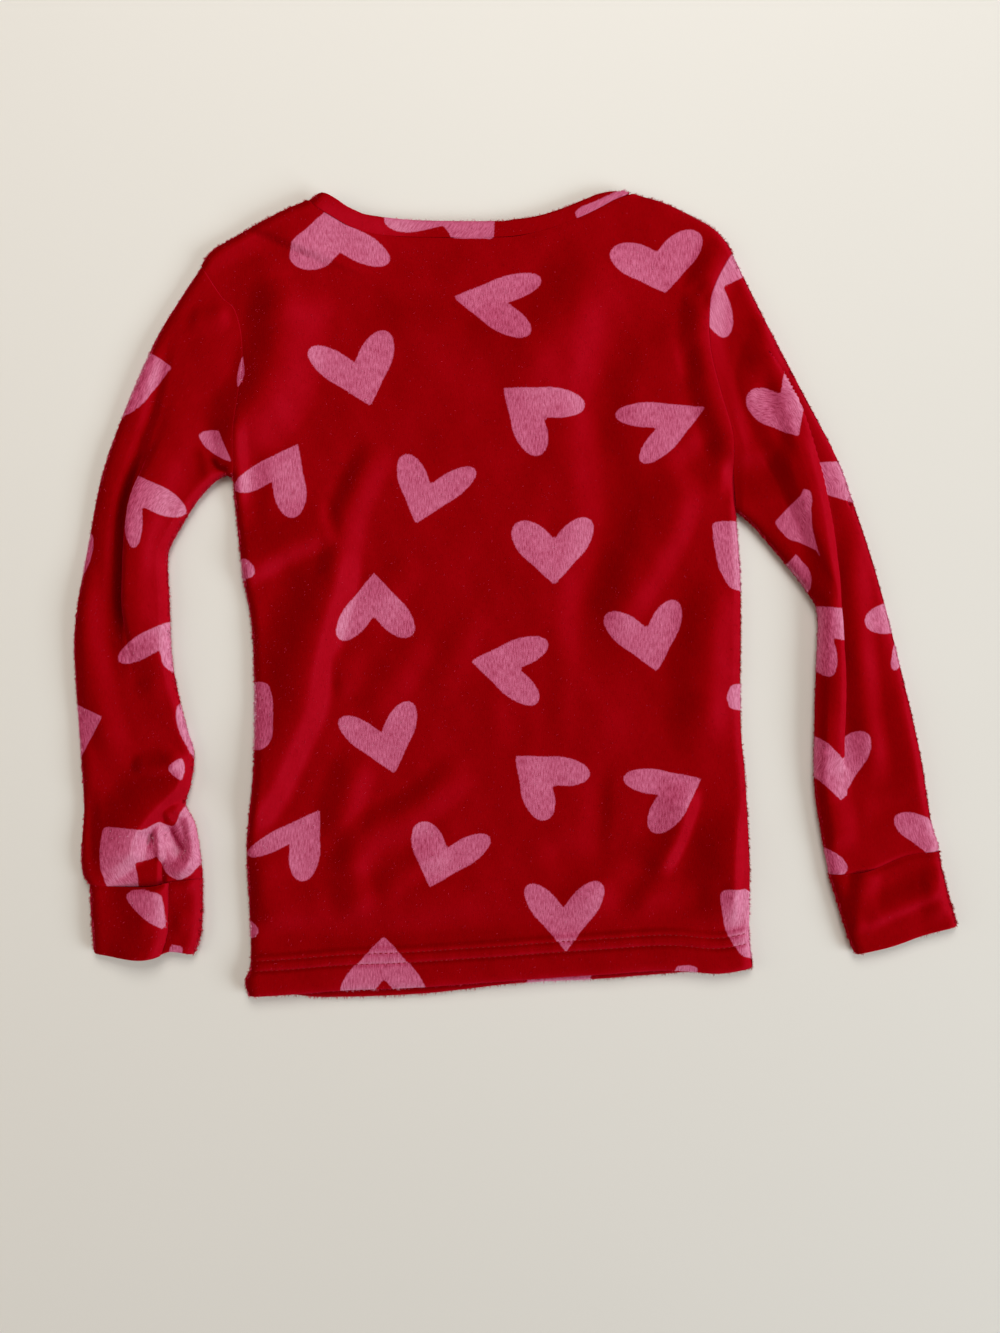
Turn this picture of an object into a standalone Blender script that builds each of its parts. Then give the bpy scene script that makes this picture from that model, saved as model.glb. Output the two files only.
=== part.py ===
"""A child's long-sleeved plush pajama top, laid flat with its back up.

Frame: X runs across the chest, Y from hem to neck, Z up from the surface that the top lies on. The
origin is under the middle of the whole outline. All lengths in the tables are millimetres.

Every piece is a grid of points on the middle of its cloth, given its wall by a Solidify modifier.
The panels and sleeves lie between four edge lines each, and their height follows from how far a point
is from the nearest folded edge.
"""

import bpy
import numpy as np

MM = 0.001

# The cloth.
CLOTH = 1.6  # one layer of plush
BAND = 2.2  # two layers pressed together, in the cuffs and the neckband
PITCH = 2.0  # from one layer's middle to the middle of the next one above it
ARMHOLE_GAP = 0.8  # in plan, between a sleeve and the body
BAND_GAP = 1.4  # in plan, between a cuff or the neckband and what it is sewn to

# Heights of the middle of the cloth.
LOWEST = CLOTH / 2
BODY_TOP = 4.8
SLEEVE_TOP = 5.6
CUFF_TOP = 5.4
EDGE_ROUND = 6.0  # width of the rounding along a folded edge
EDGE_STEPS = np.array([0.0, 0.12, 0.45, 1.0])  # shares of it where a tube has points

# The turned-up hem: two layers of the front, then two of the back.
HEM_DEPTH = 21.0
BODY_LENGTH = 455.0  # from the hem to the neck, along the middle
HEM_RUNOUT = 26.0  # stretch above the hem over which the back comes down again
HEM_LAYERS = {
    "front": (LOWEST, LOWEST + PITCH),
    "back": (LOWEST + 3 * PITCH, LOWEST + 2 * PITCH),
}

# Grid sizes: points along each stretch.
SIDE_ROWS = 12
ARMHOLE_ROWS = 11
SHOULDER_COLUMNS = 4
NECK_COLUMNS = 12
SLEEVE_ROWS = 14  # down to the wrist
WRIST_ROWS = {"left": 9, "right": 5}
WRIST_SHARE = 0.78  # of the sleeve's length
UNDER_POINTS = {"sleeve": 12, "cuff": 5}  # across the flat underside
CUFF_ROWS = 4
BAND_STATIONS = 18
BAND_ROWS = 4
LOW_RUN_POINTS = 4  # from a tube's edge to its pleat
HIGH_RUN_POINTS = 6  # from the pleat to the other edge
FOLD_ANGLES = (0, 30, 60, 90, 120, 150)  # stations round a folded edge
HEM_ROW_SHARES = (0.0, 0.4, 1.0)  # of the hem's depth
SPLINE_STEPS = 16  # between two points of a table
EDGE_SAMPLES = 240  # points of an edge line, for distances to it
ARMHOLE_SHARE = 0.70  # of the way up the body
NECK_SHARES = (0.21, 0.79)  # of the way across the top

# Edge lines: rows of (x, y).
BACK_HEM = [
    (-159, -241), (-134, -239.5), (-104, -237), (-57, -235), (51, -227.5), (93, -225), (121, -227),
    (142, -224),
]
FRONT_HEM = [
    (-158, -240.5), (-134, -240.5), (-113, -242), (-57, -240), (4, -233.5), (51, -231), (103, -227),
    (141, -224.5),
]
LEFT_SIDE = [
    (-159, -241), (-161, -231), (-158, -221), (-159, -188), (-160.5, -150), (-156, -103), (-157, -26),
    (-162, 8), (-167, 50), (-168.5, 70),
]
RIGHT_SIDE = [
    (142, -224), (140, -203), (140.5, -164), (138, -113), (135, -73), (135, 2), (132.5, 45), (131.5, 72),
]
LEFT_ARMHOLE = [(-168.5, 70), (-167.5, 99), (-163, 143), (-167, 169), (-176, 179), (-188, 197.5)]
RIGHT_ARMHOLE = [(131.5, 72), (130, 96), (123, 120), (116.5, 147), (116, 171), (120, 187), (130, 205.5)]
LEFT_SHOULDER = [
    (-188, 197.5), (-182, 206), (-171, 213), (-150, 224.5), (-135, 232), (-125, 236.2),
]
RIGHT_SHOULDER = [
    (72, 240.2), (85, 236.6), (93.5, 233.5), (108, 226.3), (120, 219), (127, 211), (130, 205.5),
]

# The neckband: its free edge and its seam, behind the neck and in front of it.
BACK_NECK_EDGE = [
    (-117, 239), (-111, 236.5), (-104, 232.7), (-97, 229), (-87, 226), (-57, 223.5), (-12, 223), (0, 224.1),
    (12, 226), (22, 228.8), (32, 232.4), (42, 236.6), (51, 240), (57, 241.3), (61, 241.5), (66, 241.3),
]
BACK_NECK_SEAM = [
    (-123, 235.2), (-116.5, 230), (-108, 224.5), (-98, 219.3), (-83, 215.5), (-57, 214), (-12, 214),
    (5, 215.5), (22, 219.5), (38.5, 225.8), (50, 231.2), (60, 236.6), (69.5, 240.2),
]
FRONT_NECK_EDGE = [
    (-117, 239), (-107.5, 219), (-88, 198), (-57, 184), (-25, 179), (6, 183), (34, 196), (56, 218),
    (66, 241.3),
]
FRONT_NECK_SEAM = [
    (-123, 235.2), (-116, 213), (-95, 189), (-60, 174), (-25, 169), (10, 173), (41, 187), (64.5, 213),
    (69, 239),
]
# Where the band folds over at the shoulders: the share of its length that the fold takes at each end,
# and the way that the fold points.
BAND_FOLD_SHARE = 0.022
BAND_FOLD_WAY = {"left": (-0.36, 0.93), "right": (0.35, 0.94)}

# Sleeves: the folded outer edge and the sewn inner edge, from the armhole to the cuff.
SLEEVE_OUTER = {
    "left": [
        (-188, 197.5), (-207.5, 168), (-218, 149), (-234, 113), (-248, 74), (-256, 35), (-264.5, -18),
        (-264, -53), (-261, -95), (-259, -127), (-260.5, -154), (-259.5, -167), (-255, -174.5),
    ],
    "right": [
        (130, 205.5), (150, 165.5), (174, 120), (194, 82), (204.5, 53.5), (216.5, 17), (227.5, -25),
        (242.5, -90), (249.5, -133), (254, -149), (254.5, -153.5),
    ],
}
SLEEVE_INNER = {
    "left": [
        (-168.5, 70), (-176, 71), (-190, 58), (-206, 32), (-209, 20), (-208, -3), (-206, -41), (-198, -78),
        (-193, -95), (-195, -114), (-198, -126), (-192, -139), (-188, -165), (-188, -170),
    ],
    "right": [
        (132.5, 50.5), (144, 40.5), (164, 17), (175, 2.5), (182, -12), (181, -50), (180, -111), (184.5, -145),
        (188.5, -167),
    ],
}
UNDERARM_TUCK = (132.5, 50.5)  # where the right sleeve's inner edge leaves the body's side
TUCK_SHARE = 0.87  # of the right sleeve's end that is above the underarm
CUFF_SEAM = {
    "left": [(-255, -174.5), (-221, -174.5), (-206, -172), (-188, -170)],
    "right": [(254.5, -153.5), (234, -156.5), (213.5, -165), (196, -167.5), (188.5, -167)],
}
CUFF_OUTER = {
    "left": [(-255, -174.5), (-254.5, -188), (-252.5, -215)],
    "right": [(254.5, -153.5), (257, -168), (264.5, -195), (264.5, -198.5)],
}
CUFF_INNER = {
    "left": [(-188, -170), (-188.5, -200), (-193, -216)],
    "right": [(188.5, -167), (202, -210), (206, -215)],
}
CUFF_EDGE = {
    "left": [(-252.5, -215), (-227.5, -218), (-215.5, -217), (-206.5, -214), (-193, -216)],
    "right": [(264.5, -198.5), (243.5, -204), (226, -210), (206, -215)],
}

# The lengthwise pleat of each sleeve. Its columns: share of the sleeve's length, distance of the
# pleat's edge from the outer edge, how far its layers overlap (0 to 1), how high it stands (0 to 1).
SLEEVE_PLEAT = {
    "left": [
        (0.00, 34, 0.0, 0.0), (0.22, 26, 0.0, 0.2), (0.32, 20, 0.7, 1.0), (0.50, 22, 1.0, 1.0),
        (0.60, 28, 0.6, 1.0), (0.68, 30, 0.0, 0.6), (0.78, 32, 0.0, 0.0), (1.00, 32, 0.0, 0.0),
    ],
    "right": [
        (0.00, 30, 0.0, 0.0), (0.30, 12, 0.0, 0.4), (0.42, 14, 0.8, 1.0), (0.60, 25, 1.0, 1.0),
        (0.78, 36, 1.0, 1.0), (0.86, 42, 0.0, 0.8), (0.93, 40, 0.0, 0.0), (1.00, 40, 0.0, 0.0),
    ],
}
PLEAT_RUNOUT = 22.0
PLEAT_CLEARANCE = 14.0  # from a pleat's edge to either edge of its tube, at least
# Each cuff's pleat: distance of its edge from the inner edge, overlap and step.
CUFF_PLEAT = {"left": (19, 0.5, 1.0), "right": (30, 0.0, 0.0)}
# A pleat's section at its edge. Its columns: place across when lying flat, when it is a step and when
# folded over, and the share of the pleat's height.
PLEAT_SECTION = [
    (-8.0, -6.0, -6.0, 0.00),
    (-5.0, -1.5, 7.0, 0.00),
    (-3.0, -0.6, 8.0, 0.25),
    (-1.0, -0.2, 7.0, 0.50),
    (1.0, 0.2, 1.0, 0.50),
    (3.0, 0.6, 0.0, 0.75),
    (5.0, 1.5, 1.0, 1.00),
]

# The largest folds. Each row is a straight stretch: its two ends, its half width and its height.
FOLDS = [
    (-96, 59, -105, 3, 18, 2.4),
    (-105, 3, -122, -69, 18, 2.8),
    (-122, -69, -153, -135, 16, 2.2),
    (-135, 25, -143, -60, 18, -1.0),
    (-128, 156, -156, 102, 20, 2.4),
    (58, 186, 3, 132, 24, 2.2),
    (55, 150, 52, -40, 20, -1.2),
    (112, -90, 92, -160, 16, 2.2),
    (-40, -112, -98, -152, 16, 2.0),
    (-220, -139, -196, -119, 9, 3.5),
    (-217, -138, -201, -158, 8, 3.5),
    (212, -29, 218, -79, 12, 1.2),
    (140, 50, 170, 8, 14, -1.8),
]

RED = (0.30, 0.001, 0.004, 1.0)


def spline(points, at):
    """Points of the smooth line through `points`, at shares `at` of its length."""
    points = np.array(points, float)
    ends = np.vstack([2 * points[0] - points[1], points, 2 * points[-1] - points[-2]])
    step = np.linspace(0, 1, SPLINE_STEPS, endpoint=False)[:, None]
    fine = []
    for a, b, c, d in zip(ends, ends[1:], ends[2:], ends[3:]):
        bend = (2 * a - 5 * b + 4 * c - d) * step**2 + (3 * b - a - 3 * c + d) * step**3
        fine.append(b + 0.5 * ((c - a) * step + bend))
    fine = np.vstack([*fine, points[-1:]])
    steps = np.linalg.norm(np.diff(fine, axis=0), axis=1)
    length = np.concatenate([[0], np.cumsum(steps)])
    place = np.asarray(at, float) * length[-1]
    return np.stack([np.interp(place, length, fine[:, axis]) for axis in (0, 1)], axis=-1)


def stitched(points, stations, at):
    """As `spline`, but straight between equal stations, so that two pieces can share one seam line."""
    shares = np.linspace(0, 1, stations)
    line = spline(points, shares)
    return np.stack([np.interp(at, shares, line[:, axis]) for axis in (0, 1)], axis=-1)


def beside(points, away):
    """The line's points moved `away` to its right, seen along its direction."""
    points = np.array(points, float)
    along = np.gradient(points, axis=0)
    along /= np.linalg.norm(along, axis=1)[:, None]
    return points + away * np.column_stack([along[:, 1], -along[:, 0]])


def chain(lines, shares, at):
    """Points of several splines joined end to end, each taking its stretch of `shares`."""
    at = np.asarray(at, float)
    found = np.empty((*at.shape, 2))
    for line, start, end in zip(lines, shares, shares[1:]):
        here = (at >= start) & (at <= end)
        found[here] = spline(line, (at[here] - start) / (end - start))
    return found


def patch(low, high, left, right, across, along):
    """Plan points between four edge lines, at `across` and `along` (each 0 to 1)."""
    u, v = across[..., None], along[..., None]
    corners = [low(np.array([0.0, 1.0])), high(np.array([0.0, 1.0]))]
    bilinear = (1 - v) * ((1 - u) * corners[0][0] + u * corners[0][1])
    bilinear = bilinear + v * ((1 - u) * corners[1][0] + u * corners[1][1])
    ruled = (1 - v) * low(across) + v * high(across) + (1 - u) * left(along) + u * right(along)
    return ruled - bilinear


def distance_to(points, lines):
    """Plan distance from each point to the nearest of the lines."""
    samples = np.vstack([spline(line, np.linspace(0, 1, EDGE_SAMPLES)) for line in lines])
    apart = points[..., None, :] - samples
    return np.sqrt((apart**2).sum(axis=-1).min(axis=-1))


def rounding(distance, width=EDGE_ROUND):
    """Rises from 0 at a folded edge to 1 at `width` from it, as a quarter of an ellipse."""
    inside = 1 - np.clip(distance / width, 0, 1)
    return np.sqrt(1 - inside**2)


def ease(value):
    """A smooth step from 0 to 1."""
    value = np.clip(value, 0, 1)
    return value * value * (3 - 2 * value)


def folds(points):
    """Height that the largest folds add at each plan point."""
    height = np.zeros(points.shape[:-1])
    for x0, y0, x1, y1, half_width, rise in FOLDS:
        start, run = np.array([x0, y0]), np.array([x1 - x0, y1 - y0])
        share = np.clip(((points - start) @ run) / (run @ run), 0, 1)
        away = np.linalg.norm(points - start - share[..., None] * run, axis=-1)
        height += rise * ease(1 - away / half_width)
    return height


def columns_across_body():
    left = np.linspace(0, NECK_SHARES[0], SHOULDER_COLUMNS + 1)
    middle = np.linspace(*NECK_SHARES, NECK_COLUMNS + 1)
    right = np.linspace(NECK_SHARES[1], 1, SHOULDER_COLUMNS + 1)
    return np.concatenate([left, middle[1:], right[1:]])


def body_plan(hem, neck_seam, across, along):
    """Plan points of the back or the front, from its hem (along 0) to its top (along 1)."""
    neck = beside(neck_seam, BAND_GAP)
    neck[0], neck[-1] = LEFT_SHOULDER[-1], RIGHT_SHOULDER[0]
    side_shares = (0, ARMHOLE_SHARE, 1)
    left_side = [hem[0], *LEFT_SIDE[1:]]
    right_side = [hem[-1], *RIGHT_SIDE[1:]]
    return patch(
        lambda at: spline(hem, at),
        lambda at: chain([LEFT_SHOULDER, neck, RIGHT_SHOULDER], (0, *NECK_SHARES, 1), at),
        lambda at: chain([left_side, LEFT_ARMHOLE], side_shares, at),
        lambda at: chain([right_side, RIGHT_ARMHOLE], side_shares, at),
        across,
        along,
    )


def body_panel(name, hem, neck_seam, height):
    """One panel with its turned-up hem; `height` gives z from the plan points and their hem distance."""
    across = columns_across_body()
    hem_rows = np.array(HEM_ROW_SHARES) * HEM_DEPTH / BODY_LENGTH
    side_rows = np.linspace(HEM_DEPTH / BODY_LENGTH, ARMHOLE_SHARE, SIDE_ROWS)
    armhole_rows = np.linspace(ARMHOLE_SHARE, 1, ARMHOLE_ROWS)
    along = np.concatenate([hem_rows, side_rows[1:], armhole_rows[1:]])
    plan = body_plan(hem, neck_seam, *np.meshgrid(across, along))
    from_hem = np.linalg.norm(plan - plan[0], axis=-1)
    outer_z, turned_z = HEM_LAYERS[name]
    radius = abs(outer_z - turned_z) / 2
    # The outer layer starts short of the hem line, to leave room for the fold.
    up = (plan[2] - plan[0]) / np.linalg.norm(plan[2] - plan[0], axis=-1)[:, None]
    outline = plan[0] + up * CLOTH / 2
    plan[0] = outline + up * radius
    sheet = np.dstack([plan, height(plan, from_hem)])
    fold = []
    for angle in np.radians(FOLD_ANGLES):
        z = (outer_z + turned_z) / 2 - (outer_z - turned_z) / 2 * np.cos(angle)
        fold.append(np.column_stack([outline + up * radius * (1 - np.sin(angle)), np.full(len(up), z)]))
    turned = np.column_stack([outline + up * (HEM_DEPTH - CLOTH), np.full(len(up), turned_z)])
    return np.stack([turned, *fold, *sheet])


def back_height(plan, from_hem):
    seam = LOWEST + PITCH
    folded = [LEFT_SIDE, RIGHT_SIDE, LEFT_SHOULDER, RIGHT_SHOULDER]
    edge = rounding(distance_to(plan, folded))
    body = seam + (BODY_TOP - seam) * edge + folds(plan) * edge
    hem = 1 - ease((from_hem - HEM_DEPTH - CLOTH) / HEM_RUNOUT)
    return body + (HEM_LAYERS["back"][0] - body) * hem


def front_height(plan, from_hem):
    return np.full(from_hem.shape, LOWEST)


def table_column(table, column, at):
    rows = np.array(table, float)
    return np.interp(at, rows[:, 0], rows[:, column])


def pleated_layer(width, place, overlap, step, pitch):
    """(distance from the outer edge, lift) across a tube's top layer.

    What lies beyond the pleat's edge, at `place`, is carried over what comes before it.
    """
    start, end = CLOTH / 2, width - CLOTH / 2
    place = np.clip(place, start + PLEAT_CLEARANCE, end - PLEAT_CLEARANCE)
    flat, stepped, folded, share = np.array(PLEAT_SECTION).T
    opened = flat + (stepped - flat) * step
    section = place + opened + (folded - opened) * overlap
    before = start + EDGE_STEPS * EDGE_ROUND
    after = end - EDGE_STEPS[::-1] * EDGE_ROUND
    low_run = np.linspace(before[-1], section[0], LOW_RUN_POINTS)[1:-1]
    high_run = np.linspace(section[-1], after[0], HIGH_RUN_POINTS)[1:-1]
    distance = np.concatenate([before, low_run, section, high_run, after])
    # What is carried over comes down again within PLEAT_RUNOUT.
    runout = min(PLEAT_RUNOUT, end - section[-1])
    raised = ease(1 - (distance - section[-1]) / runout)
    share = np.concatenate([np.zeros(len(before) + len(low_run)), share])
    share = np.concatenate([share, raised[len(share) :]])
    return distance, share * step * 2 * pitch


def sleeve_layer(side, along, width):
    place, overlap, step = (table_column(SLEEVE_PLEAT[side], column, along) for column in (1, 2, 3))
    return pleated_layer(width, place, overlap, step, PITCH)


def cuff_layer(side, along, width):
    """The cuff's pleat folds the other way, so its place counts from the inner edge."""
    place, overlap, step = CUFF_PLEAT[side]
    distance, lift = pleated_layer(width, place, overlap, step, BAND + PITCH - CLOTH)
    return width - distance[::-1], lift[::-1]


def tube(low, high, left, right, rows, layer, top, bottom, under_points):
    """A flattened tube: for each row, the ring's top layer and then its underside."""
    sections = []
    middle = (top + bottom) / 2
    for along in rows:
        at = np.array([along])
        width = float(np.linalg.norm(left(at) - right(at)))
        upper, lift = layer(along, width)
        side = CLOTH / 2 + EDGE_STEPS[1:] * EDGE_ROUND
        flat = np.linspace(width - side[-1], side[-1], under_points)[1:-1]
        lower = np.concatenate([width - side, flat, side[::-1]])
        across = np.concatenate([upper, lower])
        plan = patch(low, high, left, right, across / width, np.full(across.shape, along))
        edge = rounding(np.minimum(across, width - across) - CLOTH / 2)
        z = middle + (bottom - middle) * edge
        above = slice(0, len(upper))
        z[above] = middle + (top - middle + folds(plan[above])) * edge[above] + lift
        sections.append(np.column_stack([plan, z]))
    return np.stack(sections)


def sleeve_top(side, at):
    """The sleeve's end at the armhole, from the shoulder to the underarm, clear of the body."""
    if side == "left":
        return stitched(LEFT_ARMHOLE[::-1], ARMHOLE_ROWS, at) - (ARMHOLE_GAP, 0)
    underarm = stitched(RIGHT_ARMHOLE[::-1], ARMHOLE_ROWS, np.minimum(at / TUCK_SHARE, 1))
    tuck = np.clip((at - TUCK_SHARE) / (1 - TUCK_SHARE), 0, 1)[..., None]
    return underarm + tuck * np.subtract(UNDERARM_TUCK, RIGHT_ARMHOLE[0]) + (ARMHOLE_GAP, 0)


def sleeve(side):
    ends = sleeve_top(side, np.array([0.0, 1.0]))
    outer = np.array([ends[0], *SLEEVE_OUTER[side][1:]])
    inner = np.array([ends[1], *SLEEVE_INNER[side][1:]])
    wrist = np.linspace(WRIST_SHARE, 1, WRIST_ROWS[side])
    return tube(
        lambda at: sleeve_top(side, at),
        lambda at: spline(CUFF_SEAM[side], at),
        lambda at: spline(outer, at),
        lambda at: spline(inner, at),
        np.concatenate([np.linspace(0, WRIST_SHARE, SLEEVE_ROWS), wrist[1:]]),
        lambda along, width: sleeve_layer(side, along, width),
        SLEEVE_TOP,
        LOWEST,
        UNDER_POINTS["sleeve"],
    )


def cuff(side):
    seam = beside(CUFF_SEAM[side], BAND_GAP if side == "left" else -BAND_GAP)
    outer = np.array([seam[0], *CUFF_OUTER[side][1:]])
    inner = np.array([seam[-1], *CUFF_INNER[side][1:]])
    return tube(
        lambda at: spline(seam, at),
        lambda at: spline(CUFF_EDGE[side], at),
        lambda at: spline(outer, at),
        lambda at: spline(inner, at),
        np.linspace(0, 1, CUFF_ROWS),
        lambda along, width: cuff_layer(side, along, width),
        CUFF_TOP,
        BAND / 2,
        UNDER_POINTS["cuff"],
    )


def neckband():
    """The band's ring, from the left shoulder behind the neck and back in front of it."""
    top, bottom = BODY_TOP, BAND / 2
    middle, radius = (top + bottom) / 2, (top - bottom) / 2
    arc = np.linspace(BAND_FOLD_SHARE, 1 - BAND_FOLD_SHARE, BAND_STATIONS)
    width = np.linspace(0, 1, BAND_ROWS)[:, None]
    stations = []

    def add(edge, seam, z):
        strip = (1 - width) * edge + width * seam
        stations.append(np.column_stack([strip, np.full(len(width), z)]))

    def add_fold(end, way, angles):
        edge, seam = spline(BACK_NECK_EDGE, end), spline(BACK_NECK_SEAM, end)
        for angle in np.radians(angles):
            out = np.array(way) * radius * np.sin(angle)
            add(edge + out, seam + out, middle + radius * np.cos(angle))

    for at in arc:
        add(spline(BACK_NECK_EDGE, at), spline(BACK_NECK_SEAM, at), top)
    add_fold(arc[-1], BAND_FOLD_WAY["right"], FOLD_ANGLES[1:])
    for at in arc[::-1]:
        add(spline(FRONT_NECK_EDGE, at), spline(FRONT_NECK_SEAM, at), bottom)
    add_fold(arc[0], BAND_FOLD_WAY["left"], FOLD_ANGLES[:0:-1])
    return np.stack(stations)


def cloth_material(name, color):
    material = bpy.data.materials.new(name)
    material.use_nodes = True
    shader = material.node_tree.nodes["Principled BSDF"]
    shader.inputs["Base Color"].default_value = color
    shader.inputs["Roughness"].default_value = 0.9
    shader.inputs["Metallic"].default_value = 0.0
    material.diffuse_color = color
    return material


def add_sheet(collection, name, grid, wall, ring_rows=False, ring_columns=False):
    """A grid of points (rows, columns, xyz) as an open surface with its wall from Solidify."""
    rows, columns = grid.shape[:2]
    index = np.arange(rows * columns).reshape(rows, columns)
    if ring_rows:
        index = np.vstack([index, index[:1]])
    if ring_columns:
        index = np.hstack([index, index[:, :1]])
    faces = np.stack([index[:-1, :-1], index[:-1, 1:], index[1:, 1:], index[1:, :-1]], axis=-1)
    mesh = bpy.data.meshes.new(name)
    mesh.from_pydata((grid.reshape(-1, 3) * MM).tolist(), [], faces.reshape(-1, 4).tolist())
    mesh.shade_smooth()
    mesh.materials.append(cloth_material(f"{name}_plush", RED))
    sheet = bpy.data.objects.new(name, mesh)
    collection.objects.link(sheet)
    solidify = sheet.modifiers.new("wall", "SOLIDIFY")
    solidify.thickness = wall * MM
    solidify.offset = 0
    return sheet


def main():
    for leftover in list(bpy.data.objects):
        bpy.data.objects.remove(leftover, do_unlink=True)
    top = bpy.data.collections.new("pajama_top")
    bpy.context.scene.collection.children.link(top)
    front = body_panel("front", FRONT_HEM, FRONT_NECK_SEAM, front_height)
    back = body_panel("back", BACK_HEM, BACK_NECK_SEAM, back_height)
    add_sheet(top, "front_panel", front, CLOTH)
    add_sheet(top, "back_panel", back, CLOTH)
    for side in ("left", "right"):
        add_sheet(top, f"{side}_sleeve", sleeve(side), CLOTH, ring_columns=True)
        add_sheet(top, f"{side}_cuff", cuff(side), BAND, ring_columns=True)
    add_sheet(top, "neckband", neckband(), BAND, ring_rows=True)


main()
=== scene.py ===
"""The looks of the child's plush pajama top with its heart print, lying flat with its back up.

The edge lines are the ones that the CAD is built from, in millimetres in its frame: X runs across the
chest, Y from hem to neck, Z up from the table. Each piece of cloth is a fine grid of points on the
middle of the cloth, shaped by the same edge lines, with its creases, its print, its nap and its painted light
and shade.
"""

import math

import bpy
import numpy as np
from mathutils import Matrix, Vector


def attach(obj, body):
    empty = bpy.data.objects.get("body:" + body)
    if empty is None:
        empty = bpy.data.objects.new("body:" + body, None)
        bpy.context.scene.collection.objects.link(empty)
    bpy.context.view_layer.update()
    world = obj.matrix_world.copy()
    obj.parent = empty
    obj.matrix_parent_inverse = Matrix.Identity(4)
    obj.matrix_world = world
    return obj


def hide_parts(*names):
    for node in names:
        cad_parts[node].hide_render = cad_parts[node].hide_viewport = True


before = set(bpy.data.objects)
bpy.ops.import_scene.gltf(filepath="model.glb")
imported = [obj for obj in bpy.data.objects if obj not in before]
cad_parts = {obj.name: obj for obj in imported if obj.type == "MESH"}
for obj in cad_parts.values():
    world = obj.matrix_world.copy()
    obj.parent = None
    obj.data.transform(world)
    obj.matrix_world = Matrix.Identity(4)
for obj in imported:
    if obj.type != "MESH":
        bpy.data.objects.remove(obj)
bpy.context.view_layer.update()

MM = 0.001
SEED = 11

# ---------------------------------------------------------------- the cloth, as in the CAD

CLOTH = 1.6
BAND = 2.2  # the doubled cloth of the cuffs and the neckband
PITCH = 2.0  # from one layer of cloth to the next
LOWEST = CLOTH / 2
BODY_TOP = 5.2
SLEEVE_TOP = 5.8
CUFF_TOP = 5.6
BODY_WIDTH, BODY_LENGTH = 320, 455
SLEEVE_LENGTH, CUFF_LENGTH = 380, 41
FOLD_BULGE = 0.35  # of a half circle, where the neckband folds over at the shoulders
EDGE_WIDTH = 6.0  # of the rounding along a folded edge
SEAM_WIDTH = 3.6  # of the dip along a seam
SEAM_HEIGHT = 2.0  # where the front and the back meet along a side
HEM_DEPTH = 21.0
HEM_RUNOUT = 22.0  # from the turned edge to where the cloth is back at its own height
HEM_ROUNDING = 7.0  # at its sides
HEM_SIDE = SEAM_HEIGHT + 1.25  # the height that the back's hem comes down to at its sides
HEM_RELIEF = 32.0  # how far from the hem's edge its relief reaches
HEM_DIP = 1.7  # of the body beyond the sewn rows
STITCH_ROWS = (15.4, 21.6)  # from the hem's edge
STITCH, STITCH_GAP = 2.3, 0.9
THREAD = 0.12  # how far a stitch sinks into the cloth
ARMHOLE_SHARE = 0.70
NECK_SHARES = (0.21, 0.79)
TUCK_SHARE = 0.87  # of the right sleeve's sewn end, which runs on past the armhole from here
PRINT_FAR = 5.0  # the largest distance that the print's field holds


def rows_of(text):
    """A table's rows: one to a line, going on after a line that ends with a comma; # starts a note."""
    kept = [row for row in text.splitlines() if row.strip() and not row.startswith("#")]
    return "\n".join(kept).replace(",\n", ", ").splitlines()


def line(text):
    """The points in a row, with commas between them."""
    return [tuple(map(float, point.split())) for point in text.split(",")]


def lines(text):
    return [line(row) for row in rows_of(text)]


def creases(text):
    """Rows of a crease's widths, height and fade, a colon and its line, as (line, widths, height, fade)."""
    found = []
    for row in rows_of(text):
        shape, points = row.split(":")
        found.append((line(points), *map(float, shape.split())))
    return found


# ---------------------------------------------------------------- edges

# Hems, shoulders and neck run from left to right, sides and armholes upwards. A sleeve's and a cuff's
# lines run down it, or across it from its outer edge.
BACK_HEM = line("-159 -241, -134 -239.5, -104 -237, -57 -235, 51 -227.5, 93 -225, 121 -227, 142 -224")
FRONT_HEM = line("-158 -240.5, -134 -240.5, -113 -242, -57 -240, 4 -233.5, 51 -231, 103 -227, 141 -224.5")
LEFT_SIDE = line("""
    -159 -241, -161 -231, -158 -221, -159 -188, -160.5 -150, -156 -103, -157 -26, -162 8, -167 50, -168.5 70
""")
RIGHT_SIDE = line("142 -224, 140 -203, 140.5 -164, 138 -113, 135 -73, 135 2, 132.5 45, 131.5 72")
LEFT_ARMHOLE = line("-168.5 70, -167.5 99, -163 143, -167 169, -176 179, -188 197.5")
RIGHT_ARMHOLE = line("131.5 72, 130 96, 123 120, 116.5 147, 116 171, 120 187, 130 205.5")
LEFT_SHOULDER = line("-188 197.5, -182 206, -171 213, -150 224.5, -135 231.7, -125 235.4")
RIGHT_SHOULDER = line("72 240.2, 85 236.6, 93.5 233.5, 108 226.3, 120 219, 127 211, 130 205.5")
BACK_NECK_EDGE = line("""
    -119.5 238, -116.5 238.9, -112.5 238, -107 235, -101 231, -95 228.3, -87 226, -57 223.3, -12 222.9, 0 224,
    12 225.7, 22 228.3, 32 231.9, 42 236, 50 239.2, 56 240.6, 61 241.1, 66 240.8
""")
BACK_NECK_SEAM = line("""
    -124 235.6, -117 230, -108 224.5, -98 219.3, -83 215.5, -57 214, -12 214, 5 215.5, 22 219.5, 38.5 225.8,
    50 231.2, 60 236.6, 70 240.2
""")
FRONT_NECK_EDGE = line("-119.5 238, -107.5 219, -88 198, -57 184, -25 179, 6 183, 34 196, 56 218, 66 240.8")
FRONT_NECK_SEAM = line("-124 235.6, -117 213, -95 189, -60 174, -25 169, 10 173, 41 187, 65 213, 70 240.2")
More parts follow.
